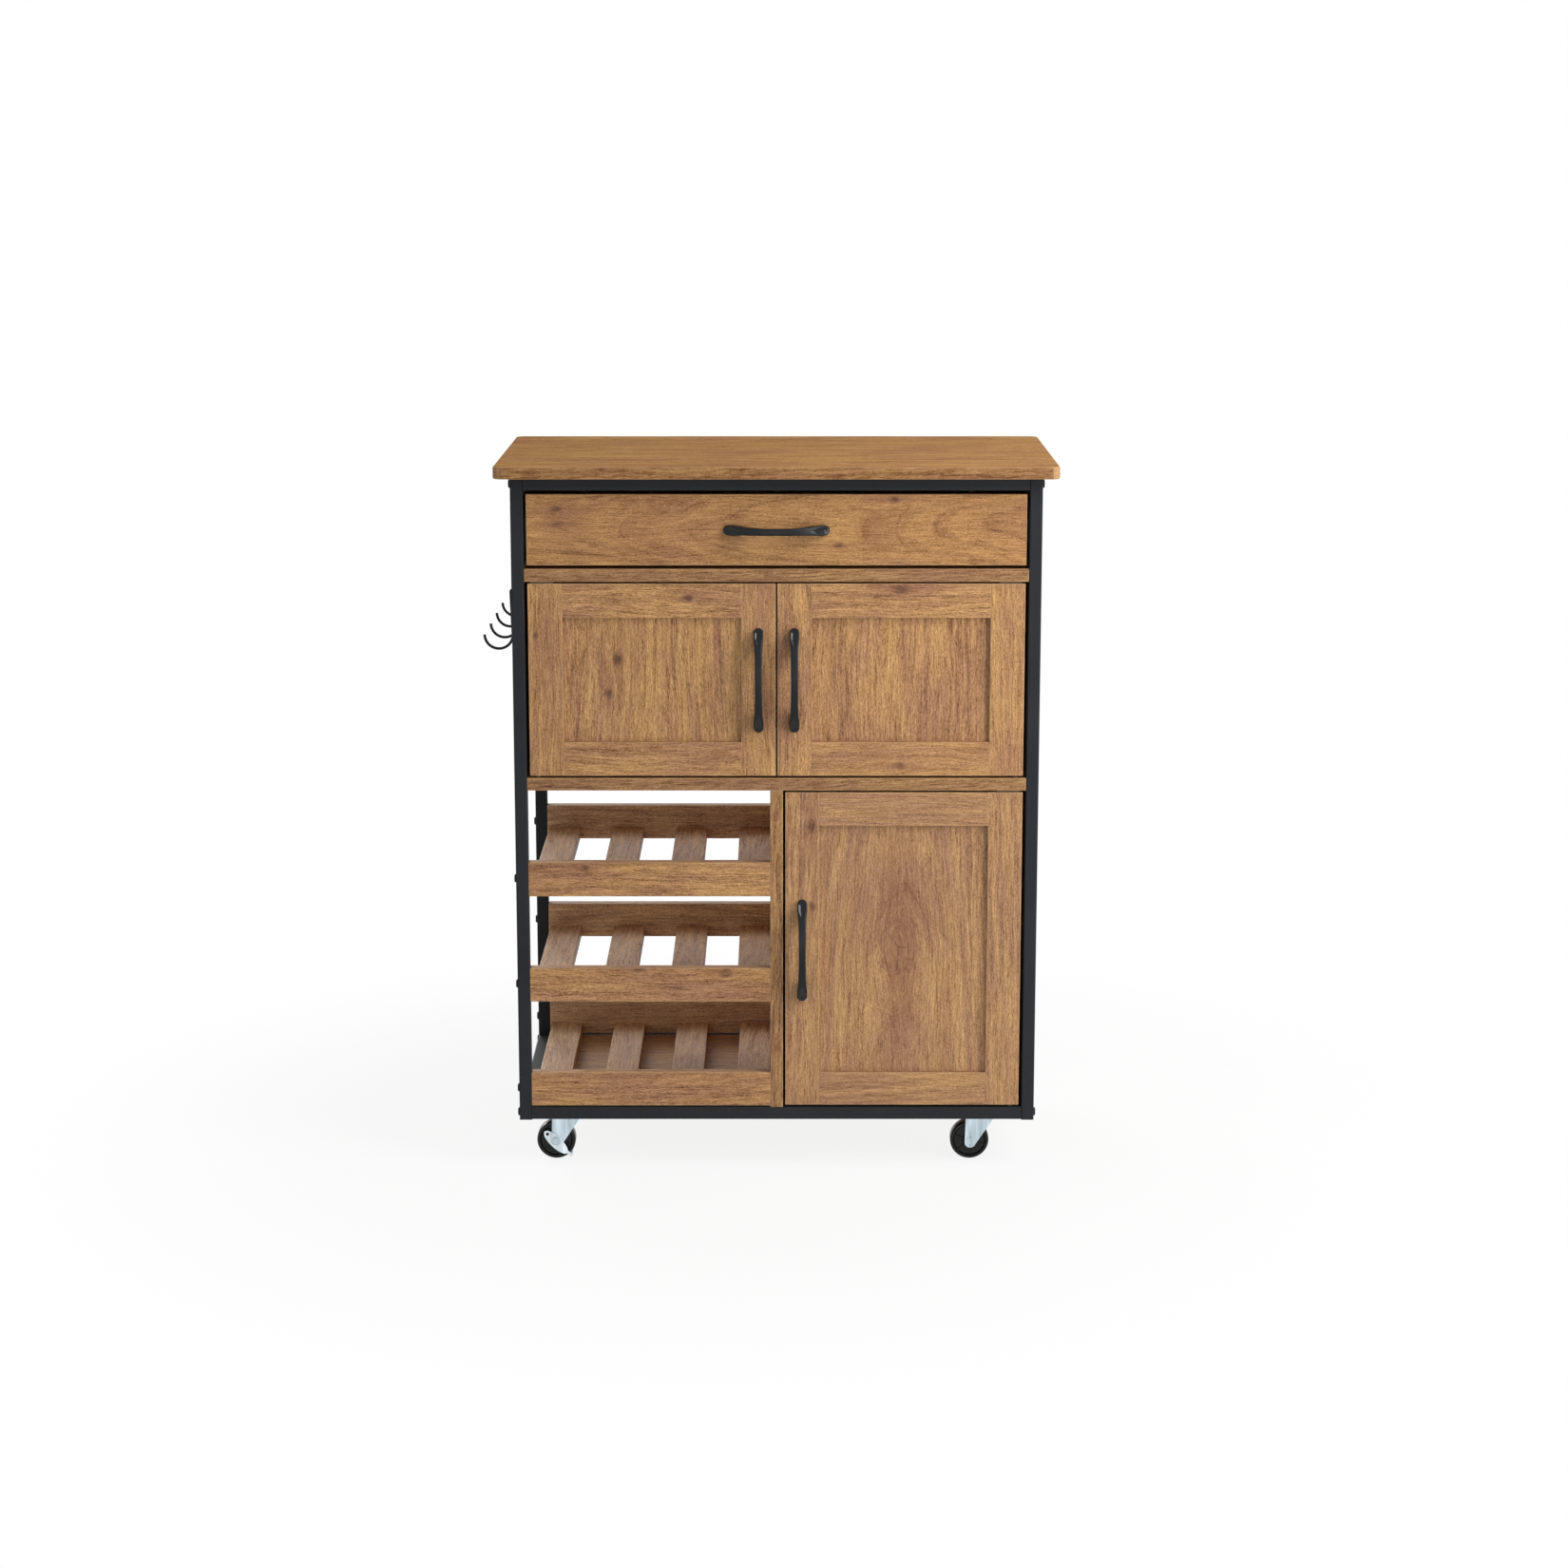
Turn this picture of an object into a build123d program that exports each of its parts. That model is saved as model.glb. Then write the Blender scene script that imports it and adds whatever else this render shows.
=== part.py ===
from build123d import *
import math
import os

os.makedirs("parts", exist_ok=True)

# Worktop
worktop_width = 700.0
worktop_depth = 400.0
worktop_thickness = 15.0
worktop_corner_radius = 12.0
worktop_edge_radius = 1.5

# Square-tube frame: two welded side frames, joined by four bolted rails
frame_width = 660.0
frame_depth = 360.0
frame_height = 825.0
tube = 16.0
tube_wall = 1.2
rail_end_plate = 4.0
cap_flange = 1.0
cap_plug_gap = 1.0
tab_length = 25.0
tab_reach = 20.0
tab_lap = 6.0
tab_thickness = 2.0
tab_count = 3
tab_pitch = 150.0

# Boards
board = 16.0
back_thickness = 12.0
board_bevel = 0.6
seam = 0.15

# Heights of the two openings between the boards; the drawer's own is what is left
lower_opening = 414.5
upper_opening = 249.0

# Bolts and screws
fit = 0.05
bolt_radius = 3.0
bolt_grip = 12.0
bolt_head_radius = 5.3
bolt_head_height = 2.4
screw_radius = 2.0
screw_grip = 10.0
screw_head_radius = 3.6
screw_head_height = 1.8
dome_share = 0.4
worktop_screw_count = 3
worktop_screw_pitch = 240.0
back_screw_inset = 30.0
back_screw_count = 4
divider_screw_count = 3

# Doors
door_thickness = 16.0
door_top_gap = 2.4
door_bottom_gap = 3.0
door_hinge_gap = 4.0
door_meeting_gap = 2.0
door_latch_gap = 3.0
stile_width = 43.0
panel_recess = 5.5
panel_thickness = 6.0
panel_groove = 6.0
groove_clearance = 0.5

# Pin hinges at a door's top and bottom edges
pivot_inset = 10.0
pivot_radius = 2.0
pivot_grip = 12.0
pivot_root = 6.0
pivot_play = 0.05
bush_radius = 4.0
bush_length = 13.0
hinge_plate_length = 28.5
hinge_plate_heel = 5.8
hinge_plate_width = 12.0
hinge_plate_gap = 0.5
pivot_collar_radius = 3.5
pivot_rest_gap = 0.3

# Magnetic catches and their strike plates
catch_width = 40.0
catch_depth = 16.0
catch_height = 14.0
catch_gap = 0.3
strike_length = 30.0
strike_height = 8.0
strike_thickness = 1.0
strike_drop = 5.0

# Bow handles
handle_length = 132.0
handle_end_width = 14.0
handle_bar_width = 8.8
handle_height = 28.0
handle_bar_thickness = 7.0
handle_foot_length = 25.0
handle_tip_thickness = 3.0
handle_edge_radius = 2.0
handle_screw_pitch = 96.0
handle_screw_depth = 6.0

# Drawer
drawer_gap = 4.5
drawer_side_gap = 3.5
drawer_lift = 8.0
drawer_wall = 12.0
drawer_wall_height = 70.0
drawer_back_clearance = 27.0
drawer_floor_thickness = 5.0
drawer_floor_lift = 8.0
drawer_groove = 5.0

# Ball-bearing slides
slide_thickness = 12.7
slide_height = 35.0
slide_sheet = 1.2
slide_setback = 2.0
slide_end_gap = 3.0
slide_flange = 10.0
runner_height = 22.0
runner_flange = 8.0
ball_clearance = 0.3
ball_pocket_play = 0.15
cage_sheet = 0.8
cage_gap = 0.6
cage_flange = 6.9
cage_length = 80.0
cage_start = 112.0
cage_ball_count = 4
cage_ball_pitch = 20.0

# Wine rack
tray_count = 3
tray_lift = 2.0
tray_pitch = 137.8
rack_front_height = 44.0
rack_back_height = 46.0
slat_count = 4
slat_width = 42.0
slat_thickness = 15.0
slat_left_gap = 3.0
slat_right_gap = 1.0

# Hooks on the left side
hook_wire = 3.5
hook_radius = 17.8
hook_clearance = 0.45
hook_lean = 2.0
hook_shank = 53.5
hook_bend_radius = 3.0
hook_drop = 186.3
hook_count = 4
hook_pitch = 92.0
hook_rail_end_gap = 4.0
hook_rail_height = 20.0
hook_rail_thickness = 1.5

# Swivel casters
caster_height = 65.0
caster_inset_x = 62.0
caster_inset_y = 48.0
caster_trail = 18.0
wheel_radius = 25.0
wheel_width = 20.0
wheel_edge_radius = 2.5
wheel_dish_depth = 2.0
wheel_rim = 4.5
hub_radius = 9.0
hub_proud = 0.7
running_gap = 0.3
axle_radius = 3.0
axle_play = 0.05
axle_head_radius = 4.5
axle_head_height = 1.6
fork_sheet = 2.0
fork_tip_radius = 7.0
fork_tip_forward = 0.8
fork_tip_drop = 2.5
fork_heel = 5.0
fork_crown_thickness = 2.5
fork_crown_front = 12.0
wheel_headroom = 4.0
plate_length = 60.0
plate_width = 44.0
plate_thickness = 2.5
plate_hole_inset = 7.0
plate_corner_radius = 4.0
race_radius = 12.0
lower_race_height = 2.5
kingpin_radius = 4.0
kingpin_head_radius = 6.5
kingpin_head_height = 2.0

# Brake levers on the left casters
lever_sheet = 1.5
lever_length = 41.0
lever_width = 15.0
lever_lead = 1.0
lever_sag = 1.3
lever_angle = 45.0
lever_eye_reach = 14.4
lever_eye_radius = 2.0
lever_toe_width = 3.6
tread_pin_radius = 1.5
tread_pin_gap = 0.8

# Planes of the cabinet. The origin is under the middle of the whole object's box, whose left
# side is the hooks' and whose front is the handles', so the cabinet stands a little off centre.
hook_reach = hook_clearance + hook_wire + 2 * hook_radius
cabinet_x = (frame_width / 2 - tube + board + hook_reach - worktop_width / 2) / 2
cabinet_y = (frame_depth / 2 + handle_height - worktop_depth / 2) / 2
left, right = cabinet_x - frame_width / 2, cabinet_x + frame_width / 2
front, back = cabinet_y - frame_depth / 2, cabinet_y + frame_depth / 2
inner_left, inner_right = left + tube, right - tube
inner_front, inner_back = front + tube, back - tube
panel_left = inner_left - board
panel_right = inner_right + board
back_face = back - back_thickness
divider_left, divider_right = cabinet_x - board / 2, cabinet_x + board / 2

# Levels, from the floor up
floor_top = caster_height + board
frame_foot = floor_top - tube
frame_top = frame_foot + frame_height
top_rail_foot = frame_top - tube
middle_shelf_foot = floor_top + lower_opening
middle_shelf_top = middle_shelf_foot + board
drawer_shelf_foot = middle_shelf_top + upper_opening
drawer_shelf_top = drawer_shelf_foot + board

across, along, up = (1, 0, 0), (0, 1, 0), (0, 0, 1)


def opposite(direction):
    """The other way along a direction."""
    return tuple(-part for part in direction)


def block(low, high, mode=Mode.ADD):
    """A square-edged block between two corners, in the piece being made."""
    middle = tuple((a + b) / 2 for a, b in zip(low, high))
    with Locations(middle):
        Box(*(b - a for a, b in zip(low, high)), mode=mode)


def rod(foot, direction, radius, length, mode=Mode.ADD):
    """A round bar from its foot along a direction, in the piece being made."""
    with Locations(Plane(origin=foot, z_dir=direction)):
        Cylinder(radius, length, align=(Align.CENTER, Align.CENTER, Align.MIN), mode=mode)


def fastener(seat, direction, radius, length, head_radius, head_height):
    """A pan-headed bolt or screw: its head stands on the seat and its shank goes in."""
    rod(seat, direction, radius, length)
    rim = head_height * (1 - dome_share)
    rod(seat, opposite(direction), head_radius, rim)
    dome_seat = tuple(s - d * rim for s, d in zip(seat, direction))
    with Locations(Plane(origin=dome_seat, z_dir=opposite(direction))):
        Cone(
            head_radius,
            head_radius * (1 - dome_share),
            head_height - rim,
            align=(Align.CENTER, Align.CENTER, Align.MIN),
        )


def spread(count, pitch, middle):
    """Evenly spaced places about a middle."""
    return [middle + (index - (count - 1) / 2) * pitch for index in range(count)]


def keep(piece, label):
    """Labels a finished piece and writes it."""
    piece.part.label = label
    export_step(piece.part, f"parts/{label}.step")


# Places that several pieces share
tray_feet = [floor_top + tray_lift + level * tray_pitch for level in range(tray_count)]
rail_levels = (frame_foot + tube / 2, frame_top - tube / 2)
leg_middles = (front + tube / 2, back - tube / 2)
rack_bolts = [
    (leg_middle, foot + height / 2)
    for leg_middle, height in zip(leg_middles, (rack_front_height, rack_back_height))
    for foot in tray_feet
]
worktop_screws = [
    (x, leg_middle)
    for leg_middle in leg_middles
    for x in spread(worktop_screw_count, worktop_screw_pitch, cabinet_x)
]
tab_places = spread(tab_count, tab_pitch, cabinet_x)
tab_screws = [
    (x, y)
    for y in (inner_front + tab_reach / 2, inner_back - tab_reach / 2)
    for x in tab_places
]


def row_of_places(low, high, count):
    """Evenly spaced places from one end of a row to the other, set in from both ends."""
    first, last = low + back_screw_inset, high - back_screw_inset
    return [first + index * (last - first) / (count - 1) for index in range(count)]


shelf_back_screws = row_of_places(inner_left, inner_right, back_screw_count)
divider_back_screws = row_of_places(floor_top, middle_shelf_foot, divider_screw_count)
back_screws = [
    (x, level + board / 2)
    for level in (middle_shelf_foot, drawer_shelf_foot)
    for x in shelf_back_screws
] + [(cabinet_x, z) for z in divider_back_screws]
divider_screws = [(leg_middles[0], foot + rack_front_height / 2) for foot in tray_feet]

# Hook places and the levels of the bent wire
hook_middles = spread(hook_count, hook_pitch, cabinet_y)
hook_screws = spread(hook_count - 1, hook_pitch, cabinet_y)
hook_level = top_rail_foot - hook_drop
lean = math.radians(hook_lean)
loop_x = panel_left - hook_clearance - hook_wire / 2 - hook_radius
shank_top_x = loop_x + hook_radius * math.cos(lean) - hook_shank * math.sin(lean)
shank_top = hook_level + hook_radius * math.sin(lean) + hook_shank * math.cos(lean)
hook_rail_top = shank_top + hook_bend_radius * (1 - math.sin(lean)) - hook_wire / 2
hook_screw_level = hook_rail_top - hook_rail_height / 2

# Doors: the side that the hinge is on, the hinge and free edges, and the boards below and above
left_hinge_edge = inner_left + door_hinge_gap
right_hinge_edge = inner_right - door_hinge_gap
doors = {
    "upper_left_door": (
        -1, left_hinge_edge, cabinet_x - door_meeting_gap / 2, middle_shelf_top, drawer_shelf_foot
    ),
    "upper_right_door": (
        1, right_hinge_edge, cabinet_x + door_meeting_gap / 2, middle_shelf_top, drawer_shelf_foot
    ),
    "lower_right_door": (
        1, right_hinge_edge, divider_right + door_latch_gap, floor_top, middle_shelf_foot
    ),
}
pivot_y = front + door_thickness / 2
door_back = front + door_thickness
left_pivot = left_hinge_edge + pivot_inset
right_pivot = right_hinge_edge - pivot_inset


# Worktop: a rounded slab on the frame's top rails
with BuildPart() as worktop:
    with BuildSketch(Plane.XY.offset(frame_top)):
        with Locations((cabinet_x, cabinet_y)):
            RectangleRounded(worktop_width, worktop_depth, worktop_corner_radius)
    extrude(amount=worktop_thickness)
    fillet(worktop.edges().group_by(Axis.Z)[0] + worktop.edges().group_by(Axis.Z)[-1], worktop_edge_radius)
    for x, y in worktop_screws:
        rod((x, y, frame_top), up, screw_radius + fit, screw_grip + fit, Mode.SUBTRACT)
keep(worktop, "worktop")


def side_frame(label, outer, inner, bolt_places):
    """A welded side: two legs, hollow from end to end, and a rail between them at each end."""
    low_x, high_x = min(outer, inner), max(outer, inner)
    with BuildPart() as frame:
        for leg_front in (front, inner_back):
            block((low_x, leg_front, frame_foot), (high_x, leg_front + tube, frame_top))
        for foot in (frame_foot, top_rail_foot):
            block((low_x, inner_front, foot), (high_x, inner_back, foot + tube))
        for leg_front in (front, inner_back):
            block(
                (low_x + tube_wall, leg_front + tube_wall, frame_foot),
                (high_x - tube_wall, leg_front + tube - tube_wall, frame_top),
                Mode.SUBTRACT,
            )
        for foot in (frame_foot, top_rail_foot):
            block(
                (low_x + tube_wall, inner_front, foot + tube_wall),
                (high_x - tube_wall, inner_back, foot + tube - tube_wall),
                Mode.SUBTRACT,
            )
        for y, z in bolt_places:
            rod((low_x, y, z), across, bolt_radius + fit, tube, Mode.SUBTRACT)
    keep(frame, label)


frame_bolt_places = [(y, z) for y in leg_middles for z in rail_levels]
side_frame("left_side_frame", left, inner_left, frame_bolt_places + rack_bolts)
side_frame("right_side_frame", right, inner_right, frame_bolt_places)


def cross_rail(label, rail_front, foot, holds_worktop):
    """A rail between the side frames, closed at each end by a plate that takes a bolt."""
    middle = (rail_front + tube / 2, foot + tube / 2)
    with BuildPart() as rail:
        block((inner_left, rail_front, foot), (inner_right, rail_front + tube, foot + tube))
        block(
            (inner_left + rail_end_plate, rail_front + tube_wall, foot + tube_wall),
            (inner_right - rail_end_plate, rail_front + tube - tube_wall, foot + tube - tube_wall),
            Mode.SUBTRACT,
        )
        for end, inward in ((inner_left, across), (inner_right, opposite(across))):
            rod((end, *middle), inward, bolt_radius + fit, rail_end_plate, Mode.SUBTRACT)
        if holds_worktop:
            for x, y in worktop_screws:
                if rail_front < y < rail_front + tube:
                    rod((x, y, foot), up, screw_radius + fit, tube, Mode.SUBTRACT)
        else:
            # Welded tabs reach from under the rail to under the bottom board
            rail_side, inward = (inner_front, 1) if rail_front == front else (inner_back, -1)
            tab_foot = caster_height - tab_thickness
            lap_y = sorted((rail_side, rail_side - inward * tab_lap))
            reach_y = sorted((rail_side, rail_side + inward * tab_reach))
            for x in tab_places:
                low_x, high_x = x - tab_length / 2, x + tab_length / 2
                block((low_x, lap_y[0], tab_foot), (high_x, lap_y[1], frame_foot))
                block((low_x, reach_y[0], tab_foot), (high_x, reach_y[1], caster_height))
            for x, y in tab_screws:
                if reach_y[0] < y < reach_y[1]:
                    rod((x, y, tab_foot), up, screw_radius + fit, tab_thickness, Mode.SUBTRACT)
            if rail_front < pivot_y < rail_front + tube:
                pivot = (right_pivot, pivot_y, floor_top)
                rod(pivot, opposite(up), pivot_radius + fit, pivot_root, Mode.SUBTRACT)
    keep(rail, label)


cross_rail("front_top_rail", front, top_rail_foot, True)
cross_rail("back_top_rail", inner_back, top_rail_foot, True)
cross_rail("front_bottom_rail", front, frame_foot, False)
cross_rail("back_bottom_rail", inner_back, frame_foot, False)

# Bolts through the legs, into the rails' ends and, on the left, into the rack's boards
with BuildPart() as frame_bolts:
    for y, z in frame_bolt_places:
        for face, inward in ((left, across), (right, opposite(across))):
            fastener(
                (face, y, z), inward, bolt_radius, tube + bolt_grip, bolt_head_radius, bolt_head_height
            )
    for y, z in rack_bolts:
        fastener(
            (left, y, z), across, bolt_radius, tube + bolt_grip, bolt_head_radius, bolt_head_height
        )
keep(frame_bolts, "frame_bolts")

# Plastic caps pushed into the legs' feet
with BuildPart() as leg_caps:
    bore = tube - 2 * tube_wall
    for x in (left + tube / 2, right - tube / 2):
        for y in leg_middles:
            block(
                (x - tube / 2, y - tube / 2, frame_foot - cap_flange),
                (x + tube / 2, y + tube / 2, frame_foot),
            )
            # The plug stops under the bolt that crosses the leg
            plug_top = frame_foot + tube / 2 - bolt_radius - cap_plug_gap
            block(
                (x - bore / 2 + fit, y - bore / 2 + fit, frame_foot),
                (x + bore / 2 - fit, y + bore / 2 - fit, plug_top),
            )
keep(leg_caps, "leg_caps")

# Side panels in line with the legs. The left one ends at the middle shelf, over the rack.
with BuildPart() as left_side_panel:
    block((panel_left, inner_front, middle_shelf_foot), (inner_left, inner_back, top_rail_foot))
    for y in hook_screws:
        seat = (panel_left, y, hook_screw_level)
        rod(seat, across, screw_radius + fit, screw_grip + fit, Mode.SUBTRACT)
keep(left_side_panel, "left_side_panel")

with BuildPart() as right_side_panel:
    block((inner_right, inner_front, floor_top), (panel_right, inner_back, top_rail_foot))
keep(right_side_panel, "right_side_panel")


def pivot_holes(level, direction, pivots):
    """Holes in the piece being made for the fixed halves of the hinge pins."""
    for x in pivots:
        rod((x, pivot_y, level), direction, pivot_radius + fit, pivot_root + fit, Mode.SUBTRACT)


def back_edge_holes(places):
    """Holes in a board's back edge for the back panels' screws."""
    for x, z in places:
        rod((x, back_face, z), opposite(along), screw_radius + fit, screw_grip + fit, Mode.SUBTRACT)


with BuildPart() as drawer_shelf:
    block((inner_left, front, drawer_shelf_foot), (inner_right, back_face, drawer_shelf_top))
    chamfer(drawer_shelf.edges().group_by(Axis.Y)[0], board_bevel)
    pivot_holes(drawer_shelf_foot, up, (left_pivot, right_pivot))
    back_edge_holes([(x, drawer_shelf_foot + board / 2) for x in shelf_back_screws])
keep(drawer_shelf, "drawer_shelf")

with BuildPart() as middle_shelf:
    block((inner_left, front, middle_shelf_foot), (inner_right, back_face, middle_shelf_top))
    chamfer(middle_shelf.edges().group_by(Axis.Y)[0], board_bevel)
    # The lower door's pin stops short of the upper door's, which comes down on the same line
    pivot_holes(middle_shelf_top, opposite(up), (left_pivot, right_pivot))
    pivot_holes(middle_shelf_foot, up, (right_pivot,))
    back_edge_holes([(x, middle_shelf_foot + board / 2) for x in shelf_back_screws])
keep(middle_shelf, "middle_shelf")

caster_middles = {
    "front_left": (left + caster_inset_x, front + caster_inset_y),
    "front_right": (right - caster_inset_x, front + caster_inset_y),
    "back_left": (left + caster_inset_x, back - caster_inset_y),
    "back_right": (right - caster_inset_x, back - caster_inset_y),
}
plate_holes = [
    (x + dx * (plate_length / 2 - plate_hole_inset), y + dy * (plate_width / 2 - plate_hole_inset))
    for x, y in caster_middles.values()
    for dx in (-1, 1)
    for dy in (-1, 1)
]

with BuildPart() as bottom_board:
    block((inner_left, inner_front, caster_height), (inner_right, inner_back, floor_top))
    for x, y in tab_screws + plate_holes:
        rod((x, y, caster_height), up, screw_radius + fit, screw_grip + fit, Mode.SUBTRACT)
keep(bottom_board, "bottom_board")

with BuildPart() as divider_panel:
    block((divider_left, front, floor_top), (divider_right, back_face, middle_shelf_foot))
    chamfer(divider_panel.edges().group_by(Axis.Y)[0], board_bevel)
    for y, z in divider_screws:
        rod((divider_left, y, z), across, screw_radius + fit, board, Mode.SUBTRACT)
    back_edge_holes([(cabinet_x, z) for z in divider_back_screws])
keep(divider_panel, "divider_panel")


def back_panel(label, low_x, foot, top):
    """A board between the back legs, screwed on from behind into the boards that it closes."""
    with BuildPart() as piece:
        block((low_x, back_face, foot), (inner_right, back, top))
        for x, z in back_screws:
            if foot < z < top:
                rod((x, back_face, z), along, screw_radius + fit, back_thickness, Mode.SUBTRACT)
        for x, y in worktop_screws:
            if y > back_face and top == top_rail_foot:
                seat = (x, y, top)
                rod(seat, opposite(up), screw_head_radius + fit, screw_head_height + fit, Mode.SUBTRACT)
    keep(piece, label)


back_panel("upper_back_panel", inner_left, middle_shelf_foot, top_rail_foot)
back_panel("lower_back_panel", divider_left, floor_top, middle_shelf_foot)

# Wine rack: three trays, each of a front board, a back board and slats between them
with BuildPart() as rack_front_boards:
    for foot in tray_feet:
        block((inner_left, front, foot), (divider_left, front + board, foot + rack_front_height))
    chamfer(rack_front_boards.edges().group_by(Axis.Y)[0], board_bevel)
    for y, z in rack_bolts:
        if y < cabinet_y:
            rod((inner_left, y, z), across, bolt_radius + fit, bolt_grip + fit, Mode.SUBTRACT)
    for y, z in divider_screws:
        rod((divider_left, y, z), opposite(across), screw_radius + fit, screw_grip + fit, Mode.SUBTRACT)
keep(rack_front_boards, "rack_front_boards")

with BuildPart() as rack_back_boards:
    for foot in tray_feet:
        block((inner_left, back - board, foot), (divider_left, back, foot + rack_back_height))
    for y, z in rack_bolts:
        if y > cabinet_y:
            rod((inner_left, y, z), across, bolt_radius + fit, bolt_grip + fit, Mode.SUBTRACT)
keep(rack_back_boards, "rack_back_boards")

slat_run = divider_left - slat_right_gap - slat_width - inner_left - slat_left_gap
slat_places = [
    inner_left + slat_left_gap + index * slat_run / (slat_count - 1) for index in range(slat_count)
]
with BuildPart() as rack_slats:
    for foot in tray_feet:
        for x in slat_places:
            block(
                (x, front + board, foot),
                (x + slat_width, back - board, foot + slat_thickness),
            )
keep(rack_slats, "rack_slats")


# Hooks: bent wires over the top of a flat bar on the left side panel
with BuildPart() as hooks:
    for y in hook_middles:
        with BuildLine(Plane.XZ.offset(-y)) as wire:
            tip = (loop_x - hook_radius, hook_level)
            loop = JernArc(tip, (0, -1), hook_radius, 180 + hook_lean)
            shank = Line(loop @ 1, (shank_top_x, shank_top))
            bend = JernArc(shank @ 1, shank % 1, hook_bend_radius, -(90 + hook_lean))
            Line(bend @ 1, (panel_left, (bend @ 1).Z))
        with BuildSketch(Plane(wire.line @ 0, z_dir=wire.line % 0)):
            Circle(hook_wire / 2)
        sweep()
keep(hooks, "hooks")

with BuildPart() as hook_rail:
    bar_foot = hook_rail_top - hook_rail_height
    block(
        (panel_left - hook_rail_thickness, inner_front + hook_rail_end_gap, bar_foot),
        (panel_left, inner_back - hook_rail_end_gap, hook_rail_top),
    )
    for y in hook_screws:
        seat = (panel_left, y, hook_screw_level)
        rod(seat, opposite(across), screw_radius + fit, hook_rail_thickness, Mode.SUBTRACT)
keep(hook_rail, "hook_rail")


def bow_handle(label, x, z, lengthwise, face_back):
    """A cast bow handle on a front, wider at its ends, with a screw from behind at each end."""
    outward = opposite(along)
    seen = Plane(origin=(x, front, z), x_dir=lengthwise, z_dir=outward)
    beside = Plane(
        origin=(x, front, z), x_dir=lengthwise, z_dir=Vector(*lengthwise).cross(Vector(*outward))
    )
    half = handle_length / 2
    end_radius = handle_end_width / 2
    end_middle = half - end_radius
    foot_start = half - handle_foot_length
    with BuildPart() as handle:
        with BuildSketch(seen):
            with BuildLine():
                for way in (-1, 1):
                    ThreePointArc(
                        (-end_middle, way * end_radius),
                        (0, way * handle_bar_width / 2),
                        (end_middle, way * end_radius),
                    )
                    ThreePointArc(
                        (way * end_middle, end_radius), (way * half, 0), (way * end_middle, -end_radius)
                    )
            make_face()
        extrude(amount=handle_height)
        with BuildSketch(beside):
            with BuildLine():
                left_tip, right_tip = (-half, handle_tip_thickness), (half, handle_tip_thickness)
                inner_crown = (0, handle_height - handle_bar_thickness)
                ThreePointArc(left_tip, (0, handle_height), right_tip)
                Polyline(right_tip, (half, 0), (foot_start, 0))
                ThreePointArc((foot_start, 0), inner_crown, (-foot_start, 0))
                Polyline((-foot_start, 0), (-half, 0), left_tip)
            make_face()
        extrude(amount=end_radius, both=True, mode=Mode.INTERSECT)
        off_the_face = handle.edges().filter_by(lambda edge: edge.bounding_box().min.Y < front - fit)
        fillet(off_the_face, handle_edge_radius)
        screw_places = [
            (x + lengthwise[0] * reach, z + lengthwise[2] * reach)
            for reach in spread(2, handle_screw_pitch, 0)
        ]
        for screw_x, screw_z in screw_places:
            foot = (screw_x, front, screw_z)
            rod(foot, outward, screw_radius + fit, handle_screw_depth + fit, Mode.SUBTRACT)
        for screw_x, screw_z in screw_places:
            fastener(
                (screw_x, face_back, screw_z),
                outward,
                screw_radius,
                face_back - front + handle_screw_depth,
                screw_head_radius,
                screw_head_height,
            )
    keep(handle, label)


def handle_holes(x, z, lengthwise, face_back):
    """Holes through a front for its handle's screws."""
    for reach in spread(2, handle_screw_pitch, 0):
        seat = (x + lengthwise[0] * reach, front, z + lengthwise[2] * reach)
        rod(seat, along, screw_radius + fit, face_back - front, Mode.SUBTRACT)


def shaker_door(label, side, hinge_edge, free_edge, board_below, board_above):
    """A door of two stiles, two rails and a recessed panel, with its bushes, strike and handle."""
    low_x, high_x = sorted((hinge_edge, free_edge))
    foot, top = board_below + door_bottom_gap, board_above - door_top_gap
    grip_x = free_edge + side * stile_width / 2
    grip_z = (foot + top) / 2
    pivot_x = hinge_edge - side * pivot_inset
    panel_front = front + panel_recess
    panel_edge = stile_width - panel_groove

    with BuildPart() as door_frame:
        for x in (low_x, high_x - stile_width):
            block((x, front, foot), (x + stile_width, door_back, top))
        for z in (foot, top - stile_width):
            block(
                (low_x + stile_width + seam, front, z),
                (high_x - stile_width - seam, door_back, z + stile_width),
            )
        chamfer(door_frame.edges().group_by(Axis.Y)[0], board_bevel)
        block(
            (low_x + panel_edge, panel_front, foot + panel_edge),
            (high_x - panel_edge, panel_front + panel_thickness, top - panel_edge),
            Mode.SUBTRACT,
        )
        for z, inward in ((foot, up), (top, opposite(up))):
            rod((pivot_x, pivot_y, z), inward, bush_radius + fit, bush_length + fit, Mode.SUBTRACT)
        handle_holes(grip_x, grip_z, up, door_back)
    keep(door_frame, f"{label}_frame")

    panel_set_in = panel_edge + groove_clearance
    with BuildPart() as door_panel:
        block(
            (low_x + panel_set_in, panel_front, foot + panel_set_in),
            (high_x - panel_set_in, panel_front + panel_thickness, top - panel_set_in),
        )
    keep(door_panel, f"{label}_panel")

    with BuildPart() as door_fittings:
        for z, inward in ((foot, up), (top, opposite(up))):
            rod((pivot_x, pivot_y, z), inward, bush_radius, bush_length)
            bore = pivot_grip + pivot_rest_gap
            rod((pivot_x, pivot_y, z), inward, pivot_radius + pivot_play, bore, Mode.SUBTRACT)
        strike_top = board_above - strike_drop
        block(
            (grip_x - strike_length / 2, door_back, strike_top - strike_height),
            (grip_x + strike_length / 2, door_back + strike_thickness, strike_top),
        )
    keep(door_fittings, f"{label}_fittings")

    bow_handle(f"{label}_handle", grip_x, grip_z, up, door_back)


for door, places in doors.items():
    shaker_door(door, *places)

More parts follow.
